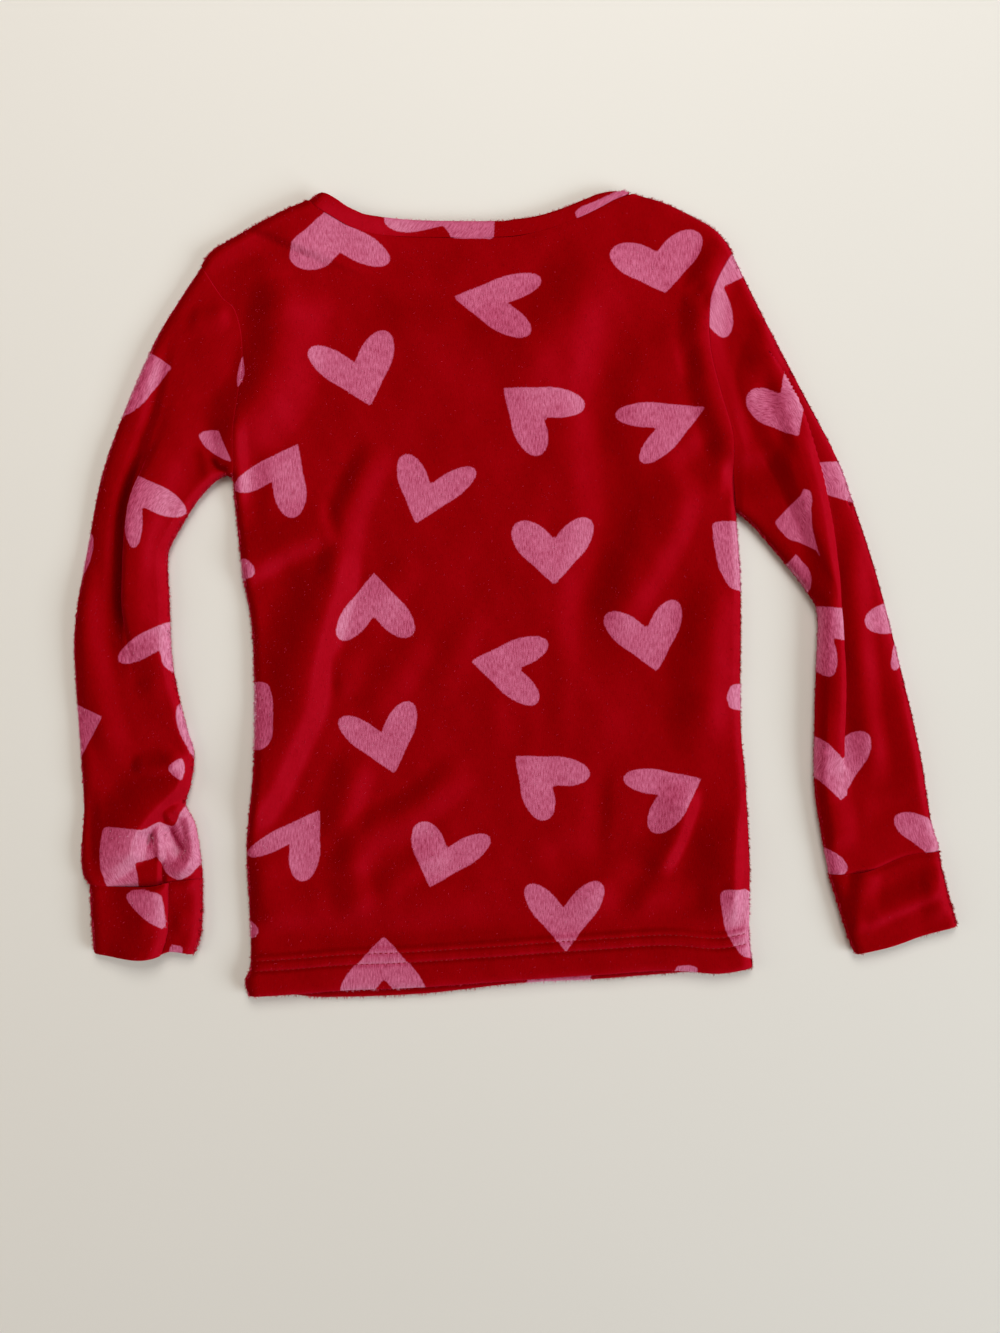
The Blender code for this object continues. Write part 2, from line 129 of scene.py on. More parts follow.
SLEEVE_OUTER = {
    "left": line("""
        -188 197.5, -207.5 168, -218 149, -234 113, -248 74, -256 35, -264.5 -18, -264 -53, -261 -95,
        -259 -127, -260.5 -154, -259.5 -167, -255 -174.5
    """),
    "right": line("""
        130 205.5, 150 165.5, 174 120, 194 82, 204.5 53.5, 216.5 17, 227.5 -25, 242.5 -90, 249.5 -133,
        254 -149, 254.5 -153.5
    """),
}
SLEEVE_INNER = {
    "left": line("""
        -168.5 70, -176 71, -190 58, -206 32, -209 20, -208 -3, -206 -41, -198 -78, -193 -95, -195 -114,
        -198 -126, -192 -139, -188 -165, -188 -170
    """),
    "right": line("""
        132.5 50.5, 144 40.5, 164 17, 175 2.5, 182 -12, 181 -50, 180 -111, 184.5 -145, 188.5 -167
    """),
}
CUFF_SEAM = {
    "left": line("-255 -174.5, -221 -174.5, -206 -172, -188 -170"),
    "right": line("254.5 -153.5, 234 -156.5, 213.5 -165, 196 -167.5, 188.5 -167"),
}
CUFF_OUTER = {
    "left": line("-255 -174.5, -254.5 -188, -252.5 -215"),
    "right": line("254.5 -153.5, 257 -168, 264.5 -195, 264.5 -198.5"),
}
CUFF_INNER = {
    "left": line("-188 -170, -188.5 -200, -193 -216"),
    "right": line("188.5 -167, 202 -210, 206 -215"),
}
CUFF_EDGE = {
    "left": line("-252.5 -215, -227.5 -218, -215.5 -217, -206.5 -214, -193 -216"),
    "right": line("264.5 -198.5, 243.5 -204, 226 -210, 206 -215"),
}
# The edge of each sleeve's lengthwise pleat; then share of its length, overlap, height.
SLEEVE_PLEAT_EDGE = {
    "left": line("""
        -193 172, -200 152, -207.5 130, -214.5 105, -222 81, -226.5 69, -230.8 56, -232 40, -233.2 20, -234 4,
        -234.2 -12, -233 -26, -230 -46, -227 -62, -226 -100, -224 -170
    """),
    "right": line("""
        118 192, 142 160, 159.8 136, 167.2 120, 173.2 105, 178.8 87, 182.6 73, 186.2 56, 189.5 38, 191.5 20,
        193 5, 194.6 -24, 196 -38, 196.6 -60, 196.2 -81, 194 -97, 200 -125, 212 -168
    """),
}
SLEEVE_PLEAT = {
    "left": line("""
        0 0 0, 0.1 0 0, 0.19 0 0.3, 0.26 0.6 0.8, 0.35 1 1, 0.47 0.8 1, 0.53 0 0.5, 0.6 0 0, 1 0 0
    """),
    "right": line("""
        0 0 0, 0.07 0 0, 0.11 0.5 0.6, 0.16 1 1, 0.66 1 1, 0.75 0.6 0.8, 0.8 0 0.3, 0.84 0 0, 1 0 0
    """),
}
PLEAT_RUNOUT = {"left": 40.0, "right": 30.0}  # from the fold to where the sleeve lies flat again
LEAST_PLEAT_PLACE = 2.5  # from the outer edge
PLEAT_ROOM = 18  # from a pleat to the inner edge, at least
CUFF_PLEAT = {"left": (19, 0.5, 1.0), "right": (30, 0.0, 0.0)}  # place, overlap, height
# How far the rows run ahead on the outer edge and behind on the inner one, so that they cross the sleeve.
SLEEVE_LEAD = 0.75
# A pleat's points: place across when flat, when a step and when folded over, and the share of its height.
# The left sleeve's folds have a steep edge, the right sleeve's a long round one.
PLEAT_SECTION = {
    "left": line("""
        -8 -6 -6 0, -5 -2.5 5 0, -3 -1 6.6 0.2, -1 -0.2 5 0.42, 1 0.6 1.4 0.44, 2.4 1.6 0 0.56,
        3.8 2.8 0.3 0.8, 5.6 4.2 1.4 1.02, 7.4 6.2 3.6 1.1, 9.6 9 7 1.11
    """),
    "right": line("""
        -8 -6 -6 0, -5 -2.5 5 0, -3 -1 6.6 0.2, -1 -0.2 5 0.42, 1 0.6 1.4 0.44, 2.4 1.6 0 0.54,
        3.8 3 0.6 0.69, 5.6 4.8 2.2 0.85, 7.6 7 4.4 0.96, 10 9.6 7.2 1
    """),
}

# ---------------------------------------------------------------- creases

# Each crease: its width to the left and to the right of its line as it runs, its height (negative for a
# trough), the share of its length over which each end fades out, and its line.
CREASES = creases("""
# the long ridge from the left chest to the left side, and the hollow that it rises from
16 13 2.4 0.24: -79 94, -89 76, -98 57, -103 40, -106 20, -109 0
17 34 4.2 0.14: -104 30, -109 6, -117 -22, -122 -45, -127 -68, -137 -91, -147 -114, -160 -133, -172 -146
22 28 0.8 0.35: -112 14, -118 -14, -126 -42, -136 -70
16 8 1.2 0.35: -104 -30, -104 -48, -100 -64
# the left waist above the hollow
26 13 3 0.14: -172 12, -157 17, -142 26, -126 33, -106 40
26 10 1 0.3: -146 90, -145 62, -148 36
9 15 2 0.25: -168 108, -167 86, -165 48
# the left chest
30 26 4.4 0.2: -131 192, -138 162, -143 140, -150 120, -163 103, -182 92
20 24 1.6 0.3: -149 206, -147 180, -146 156
26 26 1 0.3: -84 161, -45 158, 0 149
14 14 -0.7 0.35: -136 216, -90 203, -30 200
12 12 1.1 0.35: -196 196, -172 208, -150 218
44 66 3.2 0.05: -136 208, -126 232, -115 258
# from the right of the neck down to the middle of the chest, and the trough beside it
40 40 3.6 0.3: 74 205, 46 176, 20 153, -18 124
24 22 -2 0.14: 63 204, 56 166, 52 134, 50 104, 53 72, 54 42, 48 15, 43 -12, 43 -56
20 30 0.6 0.4: 30 116, 34 84, 36 60
# the right chest and waist
17 28 2.5 0.3: 94 90, 97 62, 92 40, 80 18, 66 -4, 48 -30
20 26 3.3 0.28: 122 16, 116 -28, 114 -60, 112 -96
10 22 3.4 0.28: 105 -110, 102 -124, 96 -143, 81 -170
22 14 -1.6 0.35: 124 104, 112 84, 90 72
24 22 1 0.4: 96 178, 93 144, 84 112
10 10 -1.2 0.35: 106 188, 112 178, 118 174
10 9 -1.1 0.35: 103 152, 104 140, 108 126
# the lower right
7 32 4.9 0.3: 131 -124, 131 -150, 130 -190, 132 -230
14 18 -1.6 0.25: 98 -128, 80 -160, 54 -194
9 14 -0.9 0.3: 52 -98, 51 -128, 49 -162
14 15 -1.2 0.3: 10 -152, 42 -158, 72 -154
16 22 1.4 0.3: 24 -181, 62 -179, 98 -184
12 18 -1.2 0.35: 100 -176, 116 -180, 134 -178
# the lower left
15 18 1.9 0.3: -88 -92, -98 -112, -103 -132, -104 -152
13 18 1.6 0.3: -98 -150, -97 -172, -90 -194
17 14 2.2 0.26: -26 -94, -44 -114, -66 -131, -88 -142, -106 -170
12 13 1.3 0.3: -36 -152, -60 -162, -84 -180
26 12 1.9 0.3: -150 -150, -149 -178, -142 -206
16 24 1.6 0.25: -148 -178, -100 -182, -56 -180, -16 -186
16 18 1 0.3: -52 -18, -70 -46, -92 -78
14 16 0.8 0.35: -24 -2, -36 -36, -54 -72
14 14 0.6 0.35: -58 24, -72 6, -88 -12
# faint ripples in the middle
9 9 0.22 0.4: -10 0, -12 -60, -8 -130
8 8 0.2 0.4: 12 -10, 9 -80, 12 -150
11 11 0.34 0.4: 31 30, 28 -60, 34 -150
11 11 0.25 0.4: 14 84, 12 30, 16 -20
# over the right armhole seam, where both sides of it are drawn up
18 14 3 0.14: 126 216, 115 190, 110 162, 112 140, 118 116, 125 94, 131 74
13 20 -2.3 0.22: 122 73, 140 73, 164 79
# the left sleeve
10 11 1.2 0.3: -196 166, -184 165, -170 168
10 10 0.35 0.3: -208 172, -220 144, -236 106, -248 64
6 7 -1.2 0.2: -206 158, -212 132, -218 108, -226 84, -233 63, -237 45, -239 28, -240 8, -240 -10
15 13 1.7 0.25: -262 26, -258 -12, -252 -52, -244 -82, -232 -106
16 14 1.7 0.35: -216 -20, -214 -46, -218 -68
10 6 1.7 0.25: -230 -102, -214 -103, -196 -100
8 6 -1.2 0.4: -212 -34, -204 -36
8 7 -1.2 0.35: -256 -110, -254 -140, -252 -168
# the pinch above the left cuff
9 30 4.6 0.14: -190 -104, -204 -117, -216 -129, -225 -141, -229 -153, -224 -162
8 4 2.2 0.3: -195 -126, -203 -128, -211 -134
6.5 6.5 -2 0.3: -219 -141, -219 -152
4 4 1.8 0.25: -214 -137, -213 -150, -211 -160
6.5 6 -2.9 0.2: -209 -138, -204 -149, -198 -158
6 7 2.6 0.2: -196 -128, -192 -142, -192 -154, -198 -164, -208 -163
4 2.5 -1.4 0.15: -211.5 -158, -211.5 -180
# the right sleeve
8 14 -2 0.3: 144 140, 152 118, 157 100, 163 78
8 38 1.6 0.2: 166 100, 172 84, 178 66, 182 48, 185 28, 187 8, 188 -14
8 10 0.5 0.3: 186 20, 189 -10, 191 -44, 193 -84
13 12 1.95 0.2: 199.5 44, 201.5 8, 205.5 -40, 210 -80, 215.5 -120
9 18 1.5 0.3: 228 -44, 237 -94, 243 -132
15 10 1.8 0.3: 184 -108, 190 -130, 193 -156
9 18 1.4 0.35: 146 172, 152 146, 160 128
12 14 -0.8 0.35: 208 -130, 226 -128, 244 -122
""")
# Painted light and shade, in rows like those above: the height is how much the cloth is painted paler (above
# 0) or deeper (below 0), added to its lean towards the window light; below -0.25 it also paints the shadow in
# a deep groove.
# painted shade in the two folds of the pinch above the left cuff
# painted shade where the cloth is gathered up at the left armpit
PAINTED_SHADING_ROWS = creases("""
44 44 -0.045 0.1: -204 176, -224 110, -236 40, -234 -30, -230 -90
4 10 -0.5 0.3: -217 108, -225 81, -230.2 66, -234.2 50, -235.3 25, -236 0, -235.5 -22, -234.5 -52
# gathered up at the left armpit
4 6 -0.26 0.35: -191 90, -187 79, -186 66
6 3 -0.46 0.3: -182 84, -177 76, -168 75
# the two folds of the pinch above the left cuff
6 3 -0.5 0.3: -208 -135, -203 -146, -196 -157
3 4 -0.36 0.35: -219 -137, -217.5 -146, -216 -153
# the waist on the right
14 15 -0.08 0.3: 101 -50, 100 -76, 98 -102
16 16 -0.07 0.3: -92 172, -45 168, 4 158
9 9 0.1 0.2: -178 206, -150 221, -124 233
24 20 0.04 0.35: -70 140, -10 128, 40 120
6 7 -0.08 0.25: -150 -204, -100 -208, -40 -204, 30 -200
26 26 0.05 0.35: 44 -40, 60 -70, 72 -100
""")
# Painted light on the neckband's left part, in rows like those above.
BAND_PAINTED_SHADING = creases("""
14 14 0.2 0.25: -128 236, -108 227, -80 219, -50 218
""")
CUFF_CREASES = {
    "left": creases("""
14 12 0.4 0.3: -240 -176, -244 -196, -242 -216
6 10 0.8 0.3: -212 -176, -198 -172, -190 -174
8 8 0.4 0.4: -222 -186, -216 -200
8 6 0.5 0.4: -199 -186, -200 -206
"""),
    "right": creases("""
13 9 1.7 0.2: 210 -160, 206 -182, 204 -204
15 8 2 0.2: 208 -196, 222 -189, 240 -181, 256 -172
8 12 1.4 0.3: 254 -160, 252 -180, 256 -196
"""),
}
FRONT_CREASES = creases("""
14 12 1.2 0.3: -60 120, -80 40, -110 -20
12 12 1.1 0.3: 60 150, 50 60, 58 -20
13 12 1.2 0.3: -20 -40, -40 -110, -90 -160
12 12 1 0.3: 90 20, 84 -60, 96 -150
12 12 1 0.3: -130 120, -100 90, -80 40
""")

# ---------------------------------------------------------------- the print

# The right half of the plain heart, from its tip to its notch, and the two points that place a half.
HEART_HALF = line("""
    0 0, 6 6.6, 11.8 13.5, 16.3 18.2, 19.6 22.6, 22.1 27.8, 23.4 33, 23.2 36, 21.6 38.7, 18.2 40, 13.2 38.9,
    7.2 34.9, 3.2 30.4, 0 26.2
""")
HEART_NOTCH, HEART_LOBE = (0, 28), (23.3, 36)

# Hearts where they lie: tip, notch, and the far corner of each lobe.
BACK_HEARTS = lines("""
-113.5 227.5, -104 202.7, -133.5 198.5, -74.7 201.3
-37 178, -2.5 174, 4 152.5, 12 192
90 180.5, 84.5 206.5, 56.5 203.5, 111.5 215
-86.5 113, -96.5 140.5, -124 143.5, -74 155.5
-7 123.5, 18.5 105, 40.5 117.5, 9.5 83.5
114 112, 83 99, 80.5 78.5, 62.5 111.5
-59.5 42.5, -50 67.5, -69 82, -23 72.5
-130 90, -146 66, -129 47, -167 66.5
23.5 6, 23.5 35, -2 39, 47 42
-84.5 13, -84.5 -14.5, -60 -22, -107 -24
85 -46, 78.5 -18.5, 53 -15, 99 -6
-26.5 -39.5, 4 -44.5, 9.5 -66.5, 16.5 -25.5
-72 -107, -80.5 -81, -106 -77, -60 -66
0 -96.5, 23.5 -115, 43.5 -103.5, 13.5 -134.5
111.5 -110, 84 -120.5, 86.5 -143, 67 -106.5
-51 -175, -40 -150, -60 -138, -14.5 -148
-116.5 -128.5, -136 -150.5, -123.5 -170.5, -159.5 -153
30.5 -213, 29 -185.5, 5.5 -176.5, 53 -174.5
-78.5 -204.5, -78 -231, -53 -240, -104.5 -240
""")
# Outlines of the hearts of which only a part shows.
BACK_PARTS = lines("""
-165 -53, -152 -52, -147 -53.5, -144 -63, -144 -84, -147 -90.5, -152 -93, -165 -92.5
-168 21, -160 21.5, -155 16, -155.5 11, -168 7
117.5 44, 141 44, 141 2, 135 2, 128 4, 122 15, 119 30
138 -53, 129 -54, 126 -61, 128 -68, 138 -70
121 -175, 144 -177, 144 -219, 134 -215, 125.5 -201
-165 -195, -159 -194.5, -154 -198.5, -153.5 -203.5, -158 -206.5, -165 -206
-162.3 143, -161 132, -162.5 127, -165.5 123, -168 130, -166 138
-38.6 218, -37.4 213.3, -30 212.9, -20 213.1, -13 212.7, -12.6 218
95 -226, 96.5 -221.5, 104 -221, 109 -222.5, 109 -230, 95 -230
""")
# On a sleeve, what lies beyond the pleat's edge is printed apart from what goes under it.
SLEEVE_HEARTS = {
    "left": {
        "under": lines("""
-205 136, -233 132, -238 106, -244 154
-265.5 -4, -266.5 24, -282.5 30, -252.3 34
-246 -73, -274.5 -82, -273.5 -107.5, -289.5 -60.5
-195 -10, -213 -35, -194 -44.6, -237 -36
"""),
        "over": lines("""
-205 136, -233 132, -238 106, -244 154
-232.3 74, -220.8 50.7, -197.2 52, -228.2 28.5
-195 -10, -213 -35, -194 -44.6, -237 -36
-190.5 -104, -187.5 -76, -202.5 -67, -173 -70
"""),
    },
    "right": {
        "under": lines("""
100 194, 125.5 183.5, 142 207, 124 153.5
148 76, 208 66, 222 77, 216 52.5
246 -3, 228.5 -23.5, 229 -44.5, 209 -13
249.5 -156.5, 253 -137.5, 227 -133, 272 -140
194.2 -122.8, 187 -97, 171 -76, 211 -84
"""),
        "over": lines("""
100 194, 125.5 183.5, 142 207, 124 153.5
168 93.5, 157.3 120.8, 138 114, 172 142
167.5 24, 168.5 0.5, 153 -3, 177 5.5
171 -5.5, 190 -27.5, 215 -18, 183.5 -48
194.2 -122.8, 194.8 -96.2, 163 -83, 231 -84
156 -144, 180 -167, 197 -159, 171 -186
249.5 -156.5, 253 -137.5, 227 -133, 272 -140
"""),
    },
}
SLEEVE_PARTS = {
    "left": lines("""
-245.5 -138.5, -247.5 -151, -247.5 -163, -245 -171.5, -242.5 -180, -225 -180, -225.5 -168.5, -227.5 -160,
-221.5 -159, -217 -158, -213.5 -156, -212 -160, -209.5 -165, -206 -168.5, -200.5 -170.5, -194 -167.5,
-188 -160, -184 -147, -190 -134, -197 -123.5, -199 -128, -203.5 -138.5, -208 -137.5, -213 -135.5, -215 -136.5,
-221.5 -140, -234 -139
-199 -97.5, -204.5 -101, -206 -104, -203.5 -107.5, -198 -111, -197 -104
-189.5 95, -186.5 97.5, -182 98.2, -176.3 97.8, -174.6 93, -172.2 87, -168.8 79, -174 80.7, -180.5 84.4,
-186 89
-162.3 143, -161 132, -162.5 127, -165.5 123, -166 130, -164.5 138
"""),
    "right": lines("""
155.2 43, 156.4 44.6, 162.2 51, 169.5 58.3, 171 62.5, 174.8 61, 176 56, 175.2 50, 176.6 38, 179.6 27.5,
181.4 22, 179 26.4, 169.8 31, 162.9 33, 157.6 39
"""),
}
CUFF_PARTS = {
    "left": lines("""
-232 -179.5, -228 -176.5, -220 -176, -210 -178, -208 -200, -217 -195, -224.5 -189, -229.5 -184
-206.5 -209, -198 -210.5, -200.5 -219, -207 -219
"""),
    "right": [],
}
BAND_PARTS = lines("""
-79 230, -78 222, -75.2 219.3, -71 217.3, -64.3 216.6, -57.7 217.3, -51.2 218.8, -46 220, -41.5 220.8,
-41 230
-44 230, -43 220.8, -39.9 216.8, -37.5 212, -13 212, -12.4 218, -12.2 230
36.2 229.6, 36 227.6, 37.4 225, 39 223.6, 43 225.6, 55 232, 68 240, 69.5 243, 64 242.6, 59.6 240.7,
48.5 235.6, 40 232.3
""")
# Hearts on the sides that lie on the table: tip, and the turn of the heart in degrees.
FRONT_HEARTS = line("""
    -95 168 20, 96 172 -24, -52 118 158, 12 128 36, 72 104 -62, -118 92 -30, -26 60 12, 44 44 172, 110 30 28,
    -88 28 64, -132 -18 176, -34 -28 -40, 22 -40 18, 84 -58 140, -92 -76 -14, -20 -96 168, 46 -122 -28,
    112 -134 30, -128 -142 50, -66 -160 8, -14 -184 -70, 74 -198 14, -116 -224 4, -24 160 -78, 27 -209 180
""")
UNDER_HEARTS = {
    "left": line("-196 150 30, -222 80 -40, -230 6 160, -238 -50 20, -226 -108 -24"),
    "right": line("158 130 -28, 186 62 150, 200 0 24, 214 -70 -50, 226 -128 12"),
}


# ---------------------------------------------------------------- lines and grids


def ease(value):
    value = np.clip(value, 0, 1)
    return value * value * (3 - 2 * value)


def rounding(distance, width):
    """0 at a folded edge and 1 from `width` inwards, along a quarter of an ellipse."""
    inside = 1 - np.clip(distance / width, 0, 1)
    return np.sqrt(1 - inside**2)


def unit(vectors):
    return vectors / np.maximum(np.linalg.norm(vectors, axis=-1, keepdims=True), 1e-9)


def smooth_through(points, steps):
    """Catmull-Rom points through the rows of `points`."""
    ends = np.vstack([2 * points[0] - points[1], points, 2 * points[-1] - points[-2]])
    t = np.linspace(0, 1, steps, endpoint=False)[:, None]
    fine = []
    for a, b, c, d in zip(ends, ends[1:], ends[2:], ends[3:]):
        bend = (2 * a - 5 * b + 4 * c - d) * t**2 + (3 * b - a - 3 * c + d) * t**3
        fine.append(b + 0.5 * ((c - a) * t + bend))
    return np.vstack([*fine, points[-1:]])


def run_length(points):
    """The way from the first point to each point of a line."""
    return np.concatenate([[0], np.cumsum(np.linalg.norm(np.diff(points, axis=0), axis=1))])


def spline(points, at):
    """Points on the curve through `points`, at shares of its length."""
    fine = smooth_through(np.array(points, float), 16)
    length = run_length(fine)
    place = np.asarray(at, float) * length[-1]
    return np.stack([np.interp(place, length, fine[:, axis]) for axis in (0, 1)], axis=-1)


def chain(parts, shares, at):
    """Points on lines that follow each other, each with its own range of shares."""
    at = np.asarray(at, float)
    found = np.empty((*at.shape, 2))
    for part, start, end in zip(parts, shares, shares[1:]):
        here = (at >= start) & (at <= end)
        found[here] = spline(part, (at[here] - start) / (end - start))
    return found


def patch(low, high, left, right, across, along):
    """Points of the surface between four edge lines, at shares across and along it."""
    u, v = across[..., None], along[..., None]
    ends = np.array([0.0, 1.0])
    (low_left, low_right), (high_left, high_right) = low(ends), high(ends)
    bilinear = (1 - v) * ((1 - u) * low_left + u * low_right) + v * ((1 - u) * high_left + u * high_right)
    return (1 - v) * low(across) + v * high(across) + (1 - u) * left(along) + u * right(along) - bilinear


def to_segments(points, start, run):
    """The way from each segment's nearest place to each point, and that place as a share of the segment."""
    offset = points[:, None, :] - start
    share = np.clip((offset * run).sum(-1) / np.maximum((run**2).sum(-1), 1e-9), 0, 1)
    return offset - share[..., None] * run, share


def nearest(points, polyline):
    """For each point: its distance to the polyline, the side (1 left, -1 right) and the share along it."""
    run = np.diff(polyline, axis=0)
    away, share = to_segments(points, polyline[:-1], run)
    distance = np.linalg.norm(away, axis=-1)
    pick, row = distance.argmin(axis=1), np.arange(len(points))
    cross = run[pick, 0] * away[row, pick, 1] - run[pick, 1] * away[row, pick, 0]
    return distance[row, pick], np.where(cross >= 0, 1, -1), (pick + share[row, pick]) / len(run)


def crease_height(plan, table):
    total = np.zeros(plan.shape[:-1])
    for points, left, right, rise, fade in table:
        polyline = spline(points, np.linspace(0, 1, 30))
        reach = max(left, right)
        near = ((plan > polyline.min(0) - reach) & (plan < polyline.max(0) + reach)).all(-1)
        distance, side, share = nearest(plan[near], polyline)
        shape = ease(1 - distance / np.where(side > 0, left, right))
        total[near] += rise * shape * ease(share / fade + 0.02) * ease((1 - share) / fade + 0.02)
    return total


def ripple(plan, size=0.3):
    """The cloth's slight unevenness."""
    x, y = plan[..., 0], plan[..., 1]
    waves = [(0.11, 0.05, 0.3), (-0.07, 0.12, 1.9), (0.19, -0.08, 4.1), (0.05, 0.21, 2.6), (0.29, 0.17, 5.2)]
    return size * sum(np.sin(a * x + b * y + c) / (1 + i * 0.5) for i, (a, b, c) in enumerate(waves)) / 2


# ---------------------------------------------------------------- the print's distance


def heart_outline(tip, notch, *lobes):
    """The plain heart, drawn out so that its tip, its notch and its lobes lie where they are given."""
    tip, notch = np.array(tip, float), np.array(notch, float)
    half = spline(HEART_HALF, np.linspace(0, 1, 40))
    b = half[:, :1] / HEART_LOBE[0]
    a = (half[:, 1:] - HEART_LOBE[1] * b) / HEART_NOTCH[1]
    sides = [tip + a * (notch - tip) + b * (np.array(lobe, float) - tip) for lobe in lobes]
    return np.vstack([sides[0], sides[1][-2:0:-1]])


def turned_heart(x, y, turn):
    cos, sin = math.cos(math.radians(turn)), math.sin(math.radians(turn))

    def place(px, py):
        return (x + px * cos - py * sin, y + px * sin + py * cos)

    lobe_x, lobe_y = HEART_LOBE
    return heart_outline((x, y), place(*HEART_NOTCH), place(-lobe_x, lobe_y), place(lobe_x, lobe_y))


def rounded_part(points):
    """A closed outline with its corners slightly rounded."""
    points = np.array(points)
    loop = np.vstack([points[-1], points, points[:1]])
    fine = []
    for a, b, c in zip(loop, loop[1:], loop[2:]):
        near_a, near_c = b + (a - b) * 0.25, b + (c - b) * 0.25
        fine += [near_a, b * 0.5 + (near_a + near_c) * 0.25, near_c]
    return np.array(fine)


def print_distance(points, outlines):
    """Signed distance to the nearest heart's edge, negative inside, no more than PRINT_FAR."""
    flat = points.reshape(-1, 2)
    found = np.full(len(flat), PRINT_FAR)
    for start in outlines:
        near = ((flat > start.min(0) - PRINT_FAR) & (flat < start.max(0) + PRINT_FAR)).all(1)
        here, end = flat[near], np.roll(start, -1, axis=0)
        run = end - start
        distance = np.linalg.norm(to_segments(here, start, run)[0], axis=-1).min(1)
        x, y = here[:, None, 0], here[:, None, 1]
        crosses = (start[:, 1] > y) != (end[:, 1] > y)
        at_x = start[:, 0] + (y - start[:, 1]) * run[:, 0] / np.where(run[:, 1] == 0, 1e-9, run[:, 1])
        inside = (crosses & (x < at_x)).sum(1) % 2 == 1
        found[near] = np.minimum(found[near], np.where(inside, -distance, distance))
    return found.reshape(points.shape[:-1])


# ---------------------------------------------------------------- meshes


def grid_normals(grid, ring=False):
    if ring:
        across = np.roll(grid, -1, axis=1) - np.roll(grid, 1, axis=1)
    else:
        across = np.gradient(grid, axis=1)
    return unit(np.cross(across, np.gradient(grid, axis=0)))


def grid_faces(grid, ring=False):
    """The corners of a grid's faces, as numbers of its points."""
    rows, columns = grid.shape[:2]
    index = np.arange(rows * columns).reshape(rows, columns)
    if ring:
        index = np.hstack([index, index[:, :1]])
    return np.stack([index[:-1, :-1], index[:-1, 1:], index[1:, 1:], index[1:, :-1]], axis=-1).reshape(-1, 4)


def add_object(name, data):
    obj = bpy.data.objects.new(name, data)
    bpy.context.scene.collection.objects.link(obj)
    return obj


def mesh_object(name, points, faces, material, smooth=True, layers=None, uv=None):
    """A mesh from points in millimetres, with numbers at its points and cloth measures at its corners."""
    mesh = bpy.data.meshes.new(name)
    mesh.from_pydata((np.array(points) * MM).tolist(), [], faces)
    if smooth:
        mesh.shade_smooth()
    for key, values in (layers or {}).items():
        layer = mesh.attributes.new(key, "FLOAT", "POINT")
        layer.data.foreach_set("value", values.astype(np.float32).ravel())
    if uv is not None:
        mesh.uv_layers.new(name="cloth").data.foreach_set("uv", (uv * MM).astype(np.float32).ravel())
    mesh.materials.append(material)
    return add_object(name, mesh)


def finish_piece(obj, slot_name, *nodes):
    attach(obj, "root")
    if nodes:
        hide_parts(*nodes)
    return obj


def cloth_uv(grid):
    """Distances across and along the cloth."""
    across = np.linalg.norm(np.diff(grid, axis=1), axis=-1)
    along = np.linalg.norm(np.diff(grid, axis=0), axis=-1).mean(1)
    u = np.concatenate([np.zeros((len(grid), 1)), np.cumsum(across, axis=1)], axis=1)
    v = np.concatenate([[0], np.cumsum(along)])
    return np.dstack([u, np.broadcast_to(v[:, None], u.shape)])


def build(name, grid, layers, uv, ring=False, flip=False, wall=None):
    """A piece of cloth from a grid (rows, columns, xyz) in millimetres."""
    if ring:
        # One more column closes the ring, so that the measure goes on instead of jumping back.
        closing = np.column_stack([2 * uv[:, -1, 0] - uv[:, -2, 0], uv[:, 0, 1]])
        uv = np.concatenate([uv, closing[:, None]], axis=1)
    order = slice(None, None, -1 if flip else 1)
    corners = uv.reshape(-1, 2)[grid_faces(uv)[:, order]]
    faces = grid_faces(grid, ring)[:, order].tolist()
    obj = mesh_object(name, grid.reshape(-1, 3), faces, plush_cloth, layers=layers, uv=corners)
    if wall:
        solidify = obj.modifiers.new("wall", "SOLIDIFY")
        solidify.thickness = wall * MM
        solidify.offset = 0
    return obj


# ---------------------------------------------------------------- body


def body_shares():
    """The shares across and along a panel where its grid lines lie, closer together at its edges."""
    edge = np.array([0, 0.25, 0.7, 1.3, 2.1, 3.1, 4.3, 5.7, 7.3, 9.0]) / BODY_WIDTH
    middle = np.linspace(edge[-1], 1 - edge[-1], 156)
    across = np.concatenate([edge[:-1], middle, (1 - edge[:-1])[::-1]])
    hem_end = 27  # where the closer rows of the hem end
    hem = np.linspace(0, hem_end, 34)
    rest = np.linspace(hem_end, BODY_LENGTH, 206)[1:-1]
    top = BODY_LENGTH - np.array([6.0, 4.4, 3.1, 2.0, 1.2, 0.6, 0.2, 0.0])
    return across, np.unique(np.concatenate([hem, rest, top])) / BODY_LENGTH


def edge_drop(plan, across, along, fold_drop, seam_drop):
    """How far the panel comes down towards its folded edges and its seams."""
    at_armhole = ease((along[:, None] - ARMHOLE_SHARE) / 0.03 + 0.5)
    u = across[None, :]
    at_neck = ease((u - NECK_SHARES[0]) / 0.02 + 0.5) * ease((NECK_SHARES[1] - u) / 0.02 + 0.5)
    drop = np.zeros(plan.shape[:-1])
    for edge, at_seam in ((plan[:, :1], at_armhole), (plan[:, -1:], at_armhole), (plan[-1:], at_neck)):
        distance = np.linalg.norm(plan - edge, axis=-1)
        fold = fold_drop * (1 - rounding(distance, EDGE_WIDTH))
        seam = seam_drop * (1 - ease(distance / SEAM_WIDTH))
        drop = np.maximum(drop, fold * (1 - at_seam) + seam * at_seam)
    return drop


def hem_relief(from_hem, x):
    """Relief of the turned-up hem: its puffed edge, the sewn rows and the puckers beside them."""
    relief = 0.5 * (ease(from_hem / 4) - 1)
    relief = relief + 0.35 * np.sin(math.pi * np.clip(from_hem / STITCH_ROWS[0], 0, 1))
    pucker = np.sin(x * 0.92) + 0.6 * np.sin(x * 1.37 + 1.0) + 0.5 * np.sin(x * 0.41)
    for row in STITCH_ROWS:
        away = np.abs(from_hem - row)
        relief = relief - 1.0 * ease(1 - away / 1.9)
        relief = relief + 0.035 * pucker * ease(1 - away / 7)
    return relief


